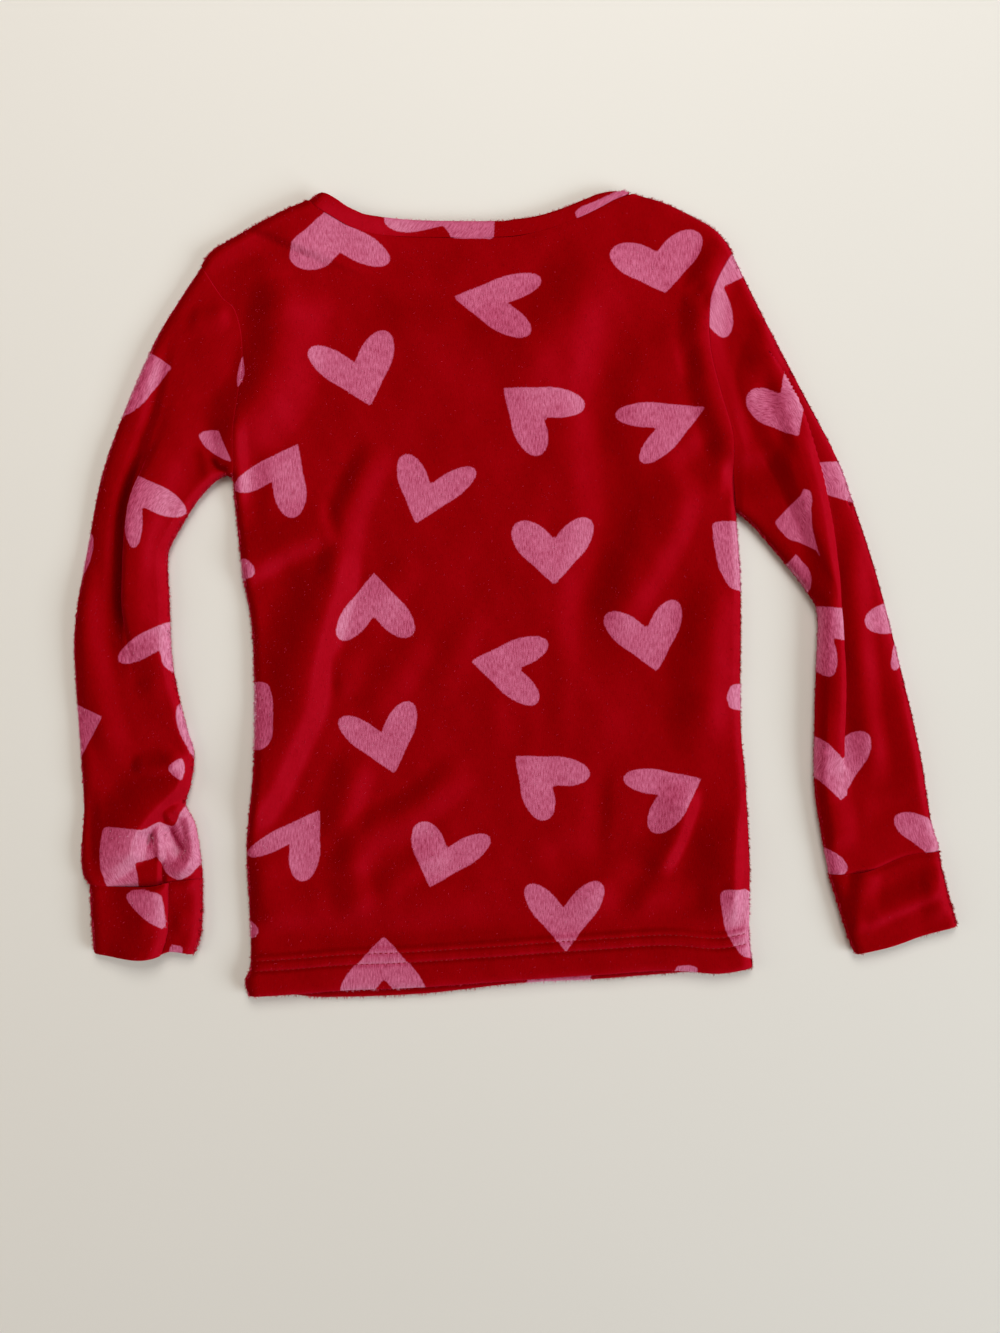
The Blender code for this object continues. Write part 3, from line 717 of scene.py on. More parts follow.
def at_distance(values, from_edge, distance):
    """A panel's values at a distance from its hem, one in each column."""
    return np.array([
        [np.interp(distance, from_edge[:, column], values[:, column, k]) for k in range(values.shape[2])]
        for column in range(values.shape[1])
    ])


def body_surface(is_back, plan, across, along, from_hem):
    """The heights of a panel's middle."""
    relief = hem_relief(from_hem, plan[..., 0])
    if not is_back:
        height = SEAM_HEIGHT - LOWEST
        drop = edge_drop(plan, across, along, height, 0.3)
        flat = np.clip(1 - drop / height, 0, 1)
        body = LOWEST + drop + np.abs(crease_height(plan, FRONT_CREASES) + ripple(plan, 0.2)) * flat
        return body - relief * (from_hem < HEM_RELIEF) * 0.5 * (relief < 0)
    height = BODY_TOP - SEAM_HEIGHT
    drop = edge_drop(plan, across, along, height, 0.08)
    flat = np.clip(1 - drop / height, 0, 1)
    body = BODY_TOP - drop + (crease_height(plan, CREASES) + ripple(plan)) * np.sqrt(flat)
    # The hem lies over that of the front, so it stands higher and comes down at both sides.
    from_sides = [np.linalg.norm(plan - side, axis=-1) for side in (plan[:, :1], plan[:, -1:])]
    round_side = rounding(np.minimum(*from_sides), HEM_ROUNDING)
    hem_part = 1 - ease((from_hem - HEM_DEPTH - 1) / HEM_RUNOUT)
    hem_z = HEM_SIDE + (LOWEST + 3 * PITCH - HEM_SIDE) * round_side + ripple(plan, 0.25) * hem_part
    z = body + (hem_z - body) * hem_part + relief * ease((HEM_RELIEF - from_hem) / 6) * round_side
    return z - HEM_DIP * ease((from_hem - 21.8) / 4.5) * (1 - ease((from_hem - 26) / 22)) * round_side


def body_panel(hem, neck_seam, is_back):
    """A panel's grid, the plan that its print follows, its outer surface and the distance from its hem."""
    across, along = body_shares()
    neck = [LEFT_SHOULDER[-1], *neck_seam[1:-1], RIGHT_SHOULDER[0]]
    side_shares = (0, ARMHOLE_SHARE, 1)
    plan = patch(
        lambda at: spline(hem, at),
        lambda at: chain([LEFT_SHOULDER, neck, RIGHT_SHOULDER], (0, *NECK_SHARES, 1), at),
        lambda at: chain([[hem[0], *LEFT_SIDE[1:]], LEFT_ARMHOLE], side_shares, at),
        lambda at: chain([[hem[-1], *RIGHT_SIDE[1:]], RIGHT_ARMHOLE], side_shares, at),
        *np.meshgrid(across, along),
    )
    from_hem = np.linalg.norm(plan - plan[0], axis=-1)
    up = unit(plan[3] - plan[0])
    outline = plan[0] + up * CLOTH / 2
    surface = np.dstack([plan, body_surface(is_back, plan, across, along, from_hem)])
    # The sheet starts a little way in, after a half circle of the fold and the part that is turned up.
    radius, sign = PITCH / 2, 1 if is_back else -1
    sheet = surface[np.searchsorted(from_hem[:, len(across) // 2], 1.4) :]
    fold = []
    for angle in np.radians([180, 158, 135, 112, 90, 68, 45, 22]):
        height = sheet[0, :, 2] - sign * radius * (1 - np.cos(angle))
        fold.append(np.column_stack([outline + up * (radius * (1 - np.sin(angle)) + 0.05), height]))
    turned = []
    for share in np.linspace(1, 0.06, 14):
        place = at_distance(plan, from_hem, radius + CLOTH / 2 + (HEM_DEPTH - CLOTH) * share)
        turned.append(np.column_stack([place, fold[0][:, 2]]))
    grid = np.stack([*turned, *fold, *sheet])
    # The turned part carries on the print past the hem's edge.
    print_plan = grid[..., :2].copy()
    print_plan[: len(turned)] = 2 * outline - print_plan[: len(turned)]
    return grid, print_plan, surface, from_hem


# ---------------------------------------------------------------- sleeves and cuffs


def pleated_section(side, width, place, overlap, step, stretch, pitch, count):
    """(distance from the outer edge, lift, whether it is over the pleat) for `count` even points."""
    start, end = CLOTH / 2, width - CLOTH / 2
    place = min(max(place, start + LEAST_PLEAT_PLACE), end - PLEAT_ROOM)
    flat, stepped, folded, share = np.array(PLEAT_SECTION[side]).T
    stretch = min(stretch, (end - 3 - place) / max(folded[-1], stepped[-1]))
    opened = flat + (stepped - flat) * step
    section = place + (opened + (folded - opened) * overlap) * stretch
    hidden = 4  # of its points lie under the fold
    section[:hidden] = np.maximum(section[:hidden], start + 0.6 + 0.3 * np.arange(hidden))
    before = np.linspace(start, section[0], 4)[:-1]
    after = end - (end - section[-1]) * (1 - np.linspace(0, 1, 11)[1:]) ** 1.5
    distance = np.concatenate([before, section, after])
    # The fold dies out gently; where the sleeve's inner edge comes first, it rolls round that edge.
    falling = share[-1] * ease(1 - (after - section[-1]) / PLEAT_RUNOUT[side])
    falling = falling * rounding(end - after, EDGE_WIDTH)
    lift = np.concatenate([np.zeros(len(before)), share, falling]) * step * 2 * pitch
    over = np.concatenate([np.zeros(len(before) + hidden), np.ones(len(share) - hidden + len(after))])
    fine = smooth_through(np.column_stack([distance, lift, over]), 12)
    length = run_length(fine[:, :2])
    at = np.linspace(0, length[-1], count)
    return [np.interp(at, length, fine[:, k]) for k in range(3)]


def crossing(plan, polyline):
    """The share across each row of `plan` where it first crosses the polyline."""
    distance, side, _ = nearest(plan.reshape(-1, 2), polyline)
    shares = np.linspace(0, 1, plan.shape[1])
    found = []
    for row in (distance * side).reshape(plan.shape[:2]):
        change = np.flatnonzero(np.sign(row[:-1]) != np.sign(row[1:]))
        k = change[0] if len(change) else 0
        part = row[k] / (row[k] - row[k + 1]) if len(change) else 0.0
        found.append(shares[k] + part * (shares[1] - shares[0]))
    return np.array(found)


def tube(edges, rows, places, layer, counts, top, bottom, table, squeeze):
    """A flattened tube: each row is the ring's top from the outer edge inwards, then its underside.

    Gives its grid, the distance from the outer edge, whether it is over the pleat and whether it is on top.
    """
    top_count, under_count = counts
    # The underside's points crowd together towards both folded edges.
    even = np.linspace(1, -1, under_count + 2)[1:-1]
    crowded = np.sign(even) * (1 - (1 - np.abs(even)) ** 1.6)
    sections, widths = [], []
    for along, place in zip(rows, places):
        at = np.array([along])
        width = float(np.linalg.norm(edges[2](at) - edges[3](at)))
        under = width / 2 + (width - CLOTH) / 2 * crowded, np.zeros(under_count), np.ones(under_count)
        upper = layer(along, width, place * width, top_count)
        sections.append([np.concatenate(pair) for pair in zip(upper, under)])
        widths.append(width)
    across, lift, over = np.array(sections).transpose(1, 0, 2)
    width = np.array(widths)[:, None]
    plan = patch(*edges, across / width, np.broadcast_to(rows[:, None], across.shape))
    is_top = np.broadcast_to(np.arange(across.shape[1]) < top_count, across.shape)
    edge = rounding(np.minimum(across, width - across) - CLOTH / 2, EDGE_WIDTH)
    middle = (top + bottom) / 2
    relief = (crease_height(plan, table) + ripple(plan)) * np.sqrt(edge)
    upper = middle + (top - middle) * edge * squeeze + relief + lift * np.minimum(squeeze, 1)
    under = middle + (bottom - middle) * edge + 0.25 * np.abs(ripple(plan, 0.6)) * edge
    return np.dstack([plan, np.where(is_top, upper, under)]), across, over, is_top


def end_squeeze(rows, length, start_depth, end_depth):
    """1 along the tube, less at its sewn ends, where the cloth is drawn in."""
    from_start, from_end = rows * length, (1 - rows) * length
    return (1 - start_depth * (1 - ease(from_start / 3.0)) - end_depth * (1 - ease(from_end / 3.4)))[:, None]


def sleeve_top(side, at):
    """The sleeve's sewn end. On the right it runs on past the underarm, where the sleeve is tucked."""
    if side == "left":
        return spline(LEFT_ARMHOLE[::-1], at)
    tuck = np.clip((at - TUCK_SHARE) / (1 - TUCK_SHARE), 0, 1)[..., None]
    past = np.subtract(SLEEVE_INNER["right"][0], RIGHT_ARMHOLE[0])
    return spline(RIGHT_ARMHOLE[::-1], np.minimum(at / TUCK_SHARE, 1)) + tuck * past


def sleeve_shape(side):
    ends, start = np.array([0, 0.5, 1.1, 1.8, 2.7, 3.8]) / SLEEVE_LENGTH, 5.2 / SLEEVE_LENGTH
    rows = np.concatenate([ends, np.linspace(start, 1 - start, 196), (1 - ends)[::-1]])
    edges = (
        lambda at: sleeve_top(side, at),
        lambda at: spline(CUFF_SEAM[side], at),
        lambda at: spline(SLEEVE_OUTER[side], at + SLEEVE_LEAD * at * (1 - at) ** 2),
        lambda at: spline(SLEEVE_INNER[side], at - SLEEVE_LEAD * at * (1 - at) ** 2),
    )
    shares = np.linspace(0, 1, 70)
    flat = patch(*edges, *np.meshgrid(shares, rows))
    places = crossing(flat, spline(SLEEVE_PLEAT_EDGE[side], np.linspace(0, 1, 60)))
    # The rows cross the pleat at a slant, so its section is stretched along them.
    at_pleat = [[np.interp(place, shares, row[:, k]) for k in (0, 1)] for place, row in zip(places, flat)]
    ahead, aside = unit(np.gradient(np.array(at_pleat), axis=0)), unit(flat[:, -1] - flat[:, 0])
    slant = np.abs(ahead[:, 0] * aside[:, 1] - ahead[:, 1] * aside[:, 0])
    slant = np.convolve(np.pad(slant, 6, mode="edge"), np.ones(13) / 13, mode="valid")
    pleat = np.array(SLEEVE_PLEAT[side])

    def layer(along, width, place, count):
        overlap, step = (np.interp(along, pleat[:, 0], pleat[:, column]) for column in (1, 2))
        stretch = 1 / np.interp(along, rows, np.maximum(slant, 0.5))
        return pleated_section(side, width, place, overlap, step, stretch, PITCH, count)

    # Near the armhole the sleeve's top is as high as the body's.
    rise = ease(rows * SLEEVE_LENGTH / 26)[:, None]
    lift = (BODY_TOP - (SLEEVE_TOP + LOWEST) / 2) / ((SLEEVE_TOP - LOWEST) / 2)
    squeeze = end_squeeze(rows, SLEEVE_LENGTH, 0.02, 0.22) * (lift + (1 - lift) * rise)
    return tube(edges, rows, places, layer, (104, 56), SLEEVE_TOP, LOWEST, CREASES, squeeze)


def cuff_shape(side):
    place, overlap, step = CUFF_PLEAT[side]

    def layer(along, width, _, count):
        distance, lift, over = pleated_section("right", width, place, overlap, step, 1.0, BAND, count)
        return width - distance[::-1], lift[::-1], over[::-1]

    rows = np.concatenate([[0, 0.4, 1.0, 1.8, 2.8], np.linspace(4, CUFF_LENGTH - 1.1, 22)]) / CUFF_LENGTH
    lines_round = (CUFF_SEAM, CUFF_EDGE, CUFF_OUTER, CUFF_INNER)
    edges = [lambda at, edge=edge[side]: spline(edge, at) for edge in lines_round]
    places, squeeze = np.zeros(len(rows)), end_squeeze(rows, CUFF_LENGTH, 0.22, 0.0)
    return tube(edges, rows, places, layer, (90, 50), CUFF_TOP, BAND / 2, CUFF_CREASES[side], squeeze)


# ---------------------------------------------------------------- cuffs' and neckband's doubled cloth


def thicken(middle, flip):
    """From the band's middle: its outside, its rounded free edge (after the last row) and its inside."""
    half = BAND / 2
    normals = grid_normals(middle, ring=True) * (-1 if flip else 1)
    ahead = unit(middle[-1] - middle[-2])
    rim = [
        middle[-1] + half * (np.cos(angle) * ahead + np.sin(angle) * normals[-1])
        for angle in np.radians([70, 45, 20, 0, -20, -45, -70])
    ]
    return np.concatenate([middle + half * normals, rim, (middle - half * normals)[::-1]])


def band_print(top, rows, on_rim):
    """A band's print: its outside's, carried on round the first rows of its rim, and none inside."""
    inside = np.full((rows - len(top) - on_rim, top.shape[1]), PRINT_FAR)
    return np.concatenate([top, np.repeat(top[-1:], on_rim, axis=0), inside])


def band_middle():
    """The neckband's middle: rows from its seam to its free edge, round the neck in columns."""
    top, bottom = BODY_TOP - 0.2, BAND / 2
    middle, radius = (top + bottom) / 2, (top - bottom) / 2
    arc = np.linspace(0.006, 0.99, 116)
    width = np.linspace(1, 0.01, 10)[:, None]

    def station(edge, seam, at, z, out=0):
        strip = (1 - width) * (spline(edge, at) + out) + width * (spline(seam, at) + out)
        return np.column_stack([strip, np.full(len(width), z)])

    def fold(at, outwards):
        for angle in np.radians(np.linspace(0, 180, 14)[1:-1]):
            out = np.array(outwards) * FOLD_BULGE * radius * np.sin(angle)
            yield station(BACK_NECK_EDGE, BACK_NECK_SEAM, at, middle + radius * np.cos(angle), out)

    back = [station(BACK_NECK_EDGE, BACK_NECK_SEAM, at, top) for at in arc]
    for at, points in zip(arc, back):
        points[:, 2] += crease_height(points[None, :, :2], CREASES)[0] * ease(min(at, 1 - at) / 0.03)
    front = [station(FRONT_NECK_EDGE, FRONT_NECK_SEAM, at, bottom) for at in arc[::-1]]
    right, left = [*fold(arc[-1], (0.35, 0.94))], [*fold(arc[0], (-0.36, 0.93))]
    return np.stack([*back, *right, *front, *left[::-1]], axis=1), len(arc)


# ---------------------------------------------------------------- materials


def fill(tree, socket, value):
    """Links the socket to another's output, or gives it a number or a colour."""
    if isinstance(value, bpy.types.NodeSocket):
        tree.links.new(value, socket)
    else:
        socket.default_value = value


def node(tree, kind, **values):
    """A new node, with values for its inputs or its settings."""
    made = tree.nodes.new(kind)
    for key, value in values.items():
        if key in made.inputs:
            fill(tree, made.inputs[key], value)
        else:
            setattr(made, key, value)
    return made


def math_node(tree, operation, *values):
    made = node(tree, "ShaderNodeMath", operation=operation)
    for socket, value in zip(made.inputs, values):
        fill(tree, socket, value)
    return made.outputs[0]


def range_node(tree, value, low, high, to_low=0.0, to_high=1.0, smooth=False):
    made = node(tree, "ShaderNodeMapRange", Value=value)
    made.interpolation_type = "SMOOTHSTEP" if smooth else "LINEAR"
    for key, number in (("From Min", low), ("From Max", high), ("To Min", to_low), ("To Max", to_high)):
        made.inputs[key].default_value = number
    return made.outputs["Result"]


def mix_colour(tree, factor, a, b):
    made = node(tree, "ShaderNodeMix", data_type="RGBA")
    # A mix node has its factor first, and its two colours seventh and eighth.
    for number, value in ((0, factor), (6, a), (7, b)):
        fill(tree, made.inputs[number], value)
    return made.outputs[2]


def noise_on(tree, vector, scale, stretch, detail=2.0, roughness=0.5):
    mapping = node(tree, "ShaderNodeMapping", Vector=vector, Scale=stretch)
    noise = node(tree, "ShaderNodeTexNoise", Scale=scale, Detail=detail, Roughness=roughness)
    tree.links.new(mapping.outputs[0], noise.inputs["Vector"])
    return noise.outputs["Fac"]


def new_material(name, roughness, specular):
    material = bpy.data.materials.new(name)
    material.use_nodes = True
    shader = material.node_tree.nodes["Principled BSDF"]
    shader.inputs["Roughness"].default_value = roughness
    shader.inputs["Specular IOR Level"].default_value = specular
    return material, material.node_tree, shader


RED = (0.303, 0.0003, 0.0023, 1.0)
RED_DEEP = (0.258, 0.0002, 0.0016, 1.0)
PINK = (0.665, 0.160, 0.305, 1.0)
PINK_DEEP = (0.385, 0.046, 0.112, 1.0)
# Painted light and shade: cloth that leans this way, towards the window light, is painted paler, and cloth
# that leans the other way is painted deeper.
PAINTED_LIGHT_DIRECTION = (0.92, -0.39, 0.0)
FULL_LEAN = 0.26  # from here on, the cloth gets no paler and no deeper
LEAN_DEPTH = 0.27  # how much paler or deeper it gets
# Painted light: the fibres are drawn paler, standing in for light that shines through them along the edges.
TIPS_PAINTED_LIGHT = 0.32


def plush(name, tips=False):
    """Short plush: two colours of print, streaks of nap, and painted light and shade: paler where the cloth
    leans towards the window light, deeper where it leans away.
    """
    material, tree, shader = new_material(name, 0.95, 0.0)
    shader.inputs["Sheen Weight"].default_value = 0.22
    shader.inputs["Sheen Roughness"].default_value = 0.42
    shader.inputs["Sheen Tint"].default_value = (1.0, 0.02, 0.10, 1.0)
    place = node(tree, "ShaderNodeUVMap", uv_map="cloth").outputs["UV"]
    # Streaks of nap along the cloth, clumps of it, and the single tufts.
    streaks = noise_on(tree, place, 1000.0, (1.5, 0.24, 1.0), 3.0, 0.62)
    clumps = noise_on(tree, place, 120.0, (1.0, 0.6, 1.0))
    tufts = noise_on(tree, place, 2300.0, (1.0, 0.8, 1.0), 1.0)
    distance = node(tree, "ShaderNodeAttribute", attribute_name="print").outputs["Fac"]
    ragged = math_node(tree, "MULTIPLY_ADD", math_node(tree, "SUBTRACT", streaks, 0.5), 2.2, distance)
    ragged = math_node(tree, "MULTIPLY_ADD", math_node(tree, "SUBTRACT", tufts, 0.5), 1.0, ragged)
    inside = range_node(tree, ragged, -0.28, 0.28, 1.0, 0.0, smooth=True)
    open_nap = range_node(tree, math_node(tree, "MULTIPLY_ADD", tufts, 0.3, streaks), 0.48, 0.80)
    red = mix_colour(tree, open_nap, RED_DEEP, RED)
    pink = mix_colour(tree, open_nap, PINK_DEEP, PINK)
    base = mix_colour(tree, inside, red, pink)
    # Painted light and shade: how far the cloth leans towards the window light, with the painted strokes
    # added, and how upright it faces.
    normal = node(tree, "ShaderNodeNewGeometry").outputs["Normal"]
    dot = node(tree, "ShaderNodeVectorMath", operation="DOT_PRODUCT")
    dot.inputs[1].default_value = PAINTED_LIGHT_DIRECTION
    tree.links.new(normal, dot.inputs[0])
    painted_shading = node(tree, "ShaderNodeAttribute", attribute_name="painted_shading").outputs["Fac"]
    lean = math_node(tree, "ADD", dot.outputs["Value"], painted_shading)
    upright = node(tree, "ShaderNodeSeparateXYZ", Vector=normal).outputs["Z"]
    painted_light = range_node(tree, lean, 0.0, FULL_LEAN, 0.0, LEAN_DEPTH)
    painted_shade = range_node(tree, lean, 0.0, -FULL_LEAN, 0.0, LEAN_DEPTH)
    painted_shade = math_node(tree, "MULTIPLY", painted_shade, range_node(tree, upright, 0.35, 0.80))
    uneven = range_node(tree, clumps, 0.25, 0.75, 0.03, -0.03)
    depth = math_node(tree, "SUBTRACT", math_node(tree, "ADD", painted_shade, 1.0), painted_light)
    depth = math_node(tree, "ADD", depth, uneven)
    # Painted shadow: strokes below -0.25 paint the deep grooves beside the folds darker still.
    depth = math_node(tree, "ADD", depth, range_node(tree, painted_shading, -0.25, -0.60, 0.0, 0.75))
    # Painted light: the fibres are painted paler than the cloth.
    if tips:
        depth = math_node(tree, "SUBTRACT", depth, TIPS_PAINTED_LIGHT)
    deepened = node(tree, "ShaderNodeGamma", Color=base, Gamma=depth).outputs[0]
    tree.links.new(deepened, shader.inputs["Base Color"])
    if not tips:
        height = math_node(tree, "MULTIPLY_ADD", tufts, 0.5, streaks)
        bump = node(tree, "ShaderNodeBump", Strength=0.16, Distance=0.0005, Height=height)
        tree.links.new(bump.outputs[0], shader.inputs["Normal"])
    return material


def mottled_material(name, roughness, specular, scale, detail, low, high):
    """An even surface, slightly mottled between two colours."""
    material, tree, shader = new_material(name, roughness, specular)
    place = node(tree, "ShaderNodeTexCoord").outputs["Object"]
    mottle = noise_on(tree, place, scale, (1.0, 1.0, 1.0), detail)
    tree.links.new(mix_colour(tree, mottle, low, high), shader.inputs["Base Color"])
    return material


plush_cloth = plush("plush_cloth")
plush_tips = plush("plush_tips", tips=True)
thread = mottled_material(
    "red_thread", 0.6, 0.15, 2600.0, 1.0, (0.20, 0.0004, 0.002, 1.0), (0.34, 0.001, 0.005, 1.0)
)

# ---------------------------------------------------------------- nap and stitches

TUFT = 1.3
TUFTS = 4096  # different ones
FIBRE_WIDTH = 0.26
FIBRE_FOOT = 0.15  # how far it stands in the cloth
LOWEST_FOOT = 0.3  # above the table
FOLD_HEIGHT = 5.4  # from here up, the steep side of a fold on top of the cloth is pressed shut
EDGE_FIBRES, FLAT_FIBRES = 9.0, 0.12  # to a square millimetre


def nap(name, slot_name, grid, normals, print_values, length, droop, seed, ring=True, edge=EDGE_FIBRES,
        flat=FLAT_FIBRES):
    """Single fibres on a grid's outer side, more of them where the cloth turns down at an edge."""
    random = np.random.default_rng(seed)
    corner = grid_faces(grid, ring).T
    points, facing, values = grid.reshape(-1, 3), normals.reshape(-1, 3), print_values.ravel()
    sides = points[corner[1]] - points[corner[0]], points[corner[3]] - points[corner[0]]
    area = np.linalg.norm(np.cross(*sides), axis=1)
    upright, z = facing[corner[0], 2], points[corner[0], 2]
    density = np.where(np.abs(upright) < 0.75, edge, flat)
    number = random.poisson(area * density * (z > LOWEST_FOOT) * ((z < FOLD_HEIGHT) | (upright > 0.9)))
    face = np.repeat(np.arange(len(area)), number)
    u, v = random.random((2, len(face), 1))
    blend = [(1 - u) * (1 - v), u * (1 - v), u * v, (1 - u) * v]
    foot = sum(w * points[c[face]] for w, c in zip(blend, corner))
    normal = unit(sum(w * facing[c[face]] for w, c in zip(blend, corner)))
    value = sum(w[:, 0] * values[c[face]] for w, c in zip(blend, corner))
    # The fibres stand in tufts, each with a length and a lean of its own. The primes mix up its number.
    tuft = np.floor(foot / TUFT).astype(np.int64) @ np.array([73856093, 19349663, 83492791]) % TUFTS
    tuft_length, tuft_lean = random.uniform(0.35, 1.65, TUFTS), random.normal(size=(TUFTS, 3)) * 0.45
    direction = unit(normal + tuft_lean[tuft] + random.normal(size=(len(face), 3)) * 0.2 + np.array(droop))
    size = length * tuft_length[tuft][:, None] * random.uniform(0.8, 1.2, (len(face), 1))
    sideways = unit(np.cross(direction, random.normal(size=(len(face), 3)))) * FIBRE_WIDTH / 2
    foot = foot + normal * (CLOTH / 2 - FIBRE_FOOT)
    tip = foot + direction * size + np.array(droop) * 0.2
    tri = np.stack([foot - sideways, foot + sideways, tip], axis=1).reshape(-1, 3)
    tri[:, 2] = np.maximum(tri[:, 2], 0.05)
    faces = np.arange(len(tri)).reshape(-1, 3).tolist()
    layers = {"print": np.repeat(value, 3)}
    fibres = mesh_object(name, tri, faces, plush_tips, smooth=False, layers=layers, uv=tri[:, :2])
    return finish_piece(fibres, slot_name)


def stitch_row(seam, up, seed):
    """Short rounded threads end to end along a seam: their points and their faces."""
    place = run_length(seam)
    random = np.random.default_rng(seed)
    turn = np.linspace(0, 2 * math.pi, 6, endpoint=False)[:, None]
    points, faces = [], []
    at = 1.5
    while at + STITCH < place[-1]:
        middle = [np.interp(at + np.linspace(0, STITCH, 5), place, seam[:, k]) for k in range(3)]
        middle = np.stack(middle, axis=-1)
        side = np.cross(unit(middle[-1] - middle[0]), up)
        lift = np.array([-0.15, 0.12, 0.2, 0.12, -0.15])
        thick = np.array([0.12, 0.26, 0.3, 0.26, 0.12]) * random.uniform(0.9, 1.1)
        base = len(points)
        for centre, height, radius in zip(middle, lift, thick):
            upwards = up * (height + radius * 0.8 * np.sin(turn))
            points += list(centre + upwards + side * radius * np.cos(turn))
        for ring in range(base, base + 24, 6):
            faces += [(ring + j, ring + (j + 1) % 6, ring + (j + 1) % 6 + 6, ring + j + 6) for j in range(6)]
        faces += [tuple(range(base + 5, base - 1, -1)), tuple(range(base + 24, base + 30))]
        at += STITCH + STITCH_GAP * random.uniform(0.85, 1.15)
    return points, faces


def stitches(name, rows):
    points, faces = [], []
    for number, (seam, up) in enumerate(rows):
        more, loops = stitch_row(seam, up, SEED + number)
        faces += [tuple(i + len(points) for i in loop) for loop in loops]
        points += more
    return finish_piece(mesh_object(name, points, faces, thread), "trim")


# ---------------------------------------------------------------- the pieces


def make_body():
    back_print = [heart_outline(*heart) for heart in BACK_HEARTS]
    back_print += [rounded_part(part) for part in BACK_PARTS]
    front_print = [turned_heart(*heart) for heart in FRONT_HEARTS]
    rows = []

    def make_panel(side, hem, neck_seam, outlines, up, **fibres):
        grid, plan, surface, from_hem = body_panel(hem, neck_seam, side == "back")
        print_values = print_distance(plan, outlines)
        uv = np.dstack([grid[..., 0], cloth_uv(grid)[..., 1]])
        layers = {"print": print_values}
        if side == "back":
            # Painted light and shade, from the strokes listed above.
            layers["painted_shading"] = crease_height(plan, PAINTED_SHADING_ROWS)
        shell = build(f"{side}_shell", grid, layers, uv, flip=up < 0, wall=CLOTH)
        finish_piece(shell, "plush", f"{side}_panel")
        for row in STITCH_ROWS:
            seam = at_distance(surface, from_hem, row)[3:-3]
            seam[:, 2] = np.maximum(seam[:, 2] + up * (CLOTH / 2 - THREAD), 0.3)
            rows.append((seam, np.array([0.0, 0.0, up])))
        normals = up * grid_normals(grid)
        return shell, nap(f"{side}_nap", "plush", grid, normals, print_values, ring=False, **fibres)

    back, back_nap = make_panel(
        "back", BACK_HEM, BACK_NECK_SEAM, back_print, 1.0, length=1.15, droop=(0, -0.5, 0.1), seed=SEED
    )
    front, front_nap = make_panel(
        "front", FRONT_HEM, FRONT_NECK_SEAM, front_print, -1.0, length=1.2, droop=(0, -0.4, 0.2),
        seed=SEED + 1, edge=5.0, flat=0.0,
    )
    sewing = stitches("hem_stitches", rows)


def sleeve_print(side, plan, across, over, is_top):
    tables = SLEEVE_HEARTS[side].items()
    hearts = {place: [heart_outline(*heart) for heart in table] for place, table in tables}
    parts = [rounded_part(part) for part in SLEEVE_PARTS[side]]
    under = print_distance(plan, hearts["under"] + (parts if side == "left" else []))
    top = np.where(over > 0.5, print_distance(plan, hearts["over"] + parts), under)
    below = print_distance(plan, [turned_heart(*heart) for heart in UNDER_HEARTS[side]])
    # Round the outer fold, the print carries on from the top.
    below = np.where(across < 6, np.minimum(below, top[:, :1] + across), below)
    return np.where(is_top, top, below)


def make_sleeve(side):
    grid, across, over, is_top = sleeve_shape(side)
    plan, flip = grid[..., :2], side == "left"
    print_values = sleeve_print(side, plan, across, over, is_top)
    # Painted light and shade, from the strokes listed above.
    layers = {"print": print_values, "painted_shading": crease_height(plan, PAINTED_SHADING_ROWS)}
    shell = build(f"{side}_sleeve_shell", grid, layers, cloth_uv(grid), ring=True, flip=flip, wall=CLOTH)
    finish_piece(shell, "plush", f"{side}_sleeve")
    normals = grid_normals(grid, ring=True) * (-1 if flip else 1)
    fibres = nap(f"{side}_sleeve_nap", "plush", grid, normals, print_values, 0.85, (0, -0.5, 0.1), SEED + 2)


def make_band(name, middle, top_print, on_rim, flip, painted_strokes, length, droop, seed):
    """A cuff's or the neckband's two pieces: its doubled cloth, and the nap on its outside and its edge."""
    grid = thicken(middle, flip)
    layers = {"print": band_print(top_print, len(grid), on_rim)}
    # Painted light and shade on the neckband, where strokes are given.
    if painted_strokes:
        layers["painted_shading"] = crease_height(grid[..., :2], painted_strokes)
    shell = build(f"{name}_shell", grid, layers, cloth_uv(grid), ring=True, flip=flip)
    finish_piece(shell, "trim", name)
    # The nap covers the outside and goes round most of the free edge.
    outer = grid[: len(middle) + 5]
    normals = grid_normals(outer, ring=True) * (-1 if flip else 1)
    skin, outer_print = outer - normals * CLOTH / 2, layers["print"][: len(outer)]
    return shell, nap(f"{name}_nap", "trim", skin, normals, outer_print, length, droop, seed)


def make_cuff(side):
    middle, _, _, is_top = cuff_shape(side)
    top = print_distance(middle[..., :2], [rounded_part(part) for part in CUFF_PARTS[side]])
    top = np.where(is_top, top, PRINT_FAR)
    name, flip = f"{side}_cuff", side == "left"
    shell, fibres = make_band(name, middle, top, 3, flip, None, 1.15, (0, -0.4, 0.1), SEED + 4)


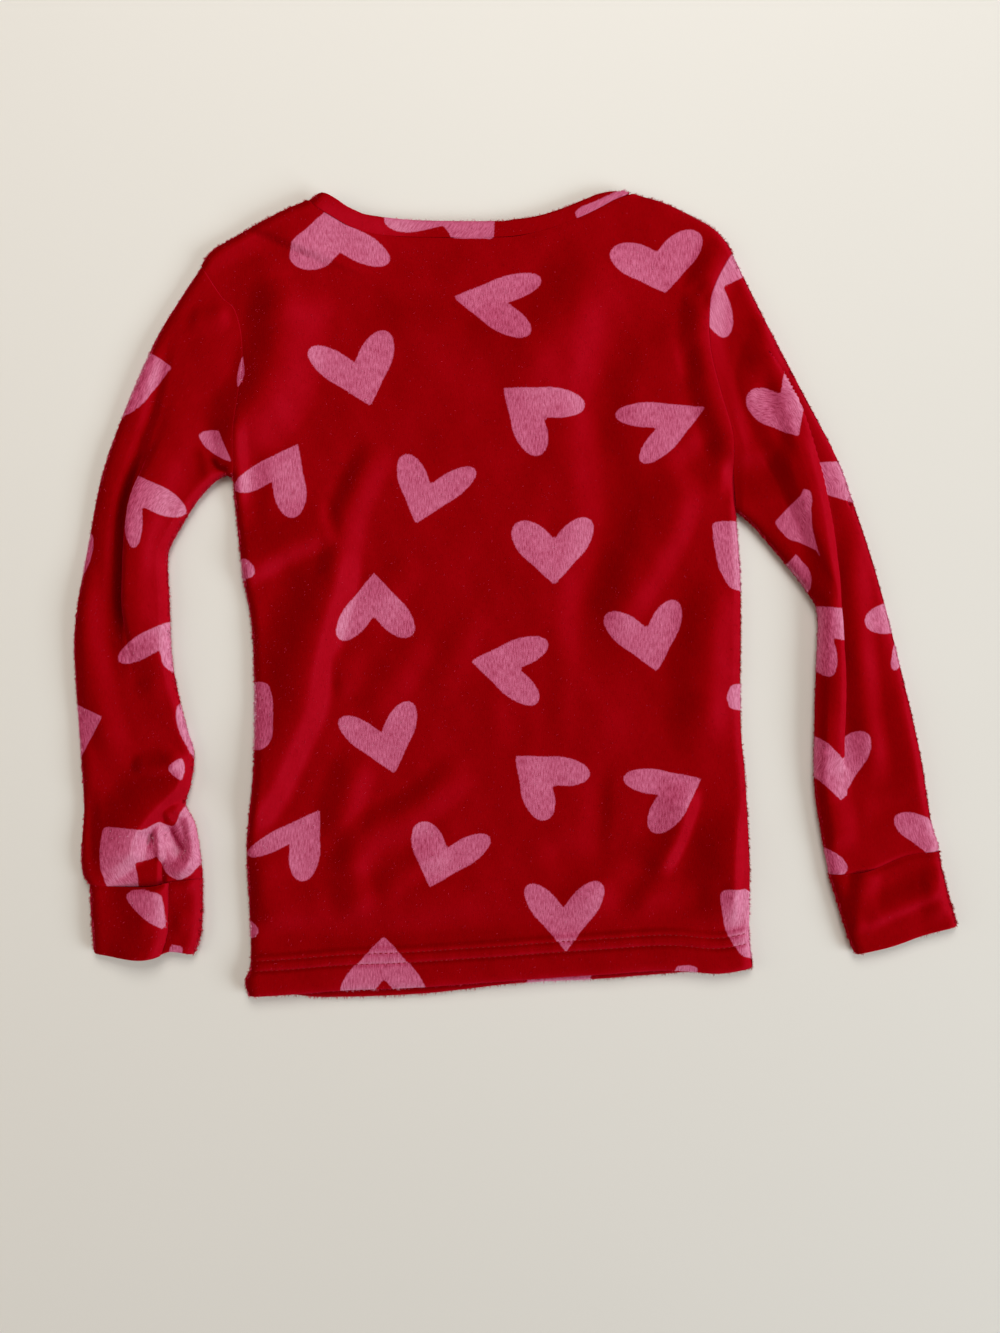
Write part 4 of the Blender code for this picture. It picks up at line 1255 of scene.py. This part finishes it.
def make_neckband():
    middle, back_count = band_middle()
    top = print_distance(middle[..., :2], [rounded_part(part) for part in BAND_PARTS])
    # The print ends halfway round the fold at the right shoulder.
    top[:, back_count + 6 :] = PRINT_FAR
    shell, fibres = make_band("neckband", middle, top, 4, False, BAND_PAINTED_SHADING, 1.1, (0, 0.1, 0.1), SEED + 6)


# ---------------------------------------------------------------- floor, light and camera


def area_light(name, place, aim, size, power, colour):
    light = bpy.data.lights.new(name, "AREA")
    light.shape = "RECTANGLE"
    light.size, light.size_y = size
    light.energy = power
    light.color = colour
    obj = add_object(name, light)
    obj.location = place
    obj.rotation_euler = Vector(np.subtract(aim, place)).to_track_quat("-Z", "Y").to_euler()


def make_stage():
    size = 4000
    corners = [(-size, -size, 0), (size, -size, 0), (size, size, 0), (-size, size, 0)]
    low, high = (0.80, 0.795, 0.765, 1.0), (0.82, 0.815, 0.79, 1.0)
    pale = mottled_material("pale_floor", 0.6, 0.2, 3.0, 2.0, low, high)
    floor = mesh_object("floor", corners, [(0, 1, 2, 3)], pale, smooth=False)
    floor.location.z = -0.0003
    world = bpy.data.worlds.new("soft_room")
    bpy.context.scene.world = world
    world.use_nodes = True
    world.node_tree.nodes["Background"].inputs["Color"].default_value = (1.0, 0.84, 0.69, 1.0)
    world.node_tree.nodes["Background"].inputs["Strength"].default_value = 0.205
    area_light("window", (3.2, -1.35, 1.55), (0.0, -0.05, 0.0), (2.4, 1.4), 108.0, (0.92, 0.995, 1.02))
    area_light("ceiling", (0.1, 1.25, 1.35), (0.0, 0.0, 0.0), (1.0, 1.0), 19.5, (1.0, 0.95, 0.89))
    area_light("wall", (-1.9, -0.2, 1.0), (0.0, -0.1, 0.0), (1.6, 1.2), 9.0, (1.0, 0.86, 0.72))


def make_camera():
    """Straight above the top, turned neither way."""
    camera = bpy.data.cameras.new("camera")
    camera.lens = 26.0
    camera.sensor_width = 36.0
    camera.sensor_fit = "AUTO"
    obj = add_object("camera", camera)
    obj.location = (-0.009, -0.043, 0.582)
    bpy.context.scene.camera = obj


make_body()
for side in ("left", "right"):
    make_sleeve(side)
for side in ("left", "right"):
    make_cuff(side)
make_neckband()
make_stage()
make_camera()
bpy.context.scene.view_settings.view_transform = "Standard"
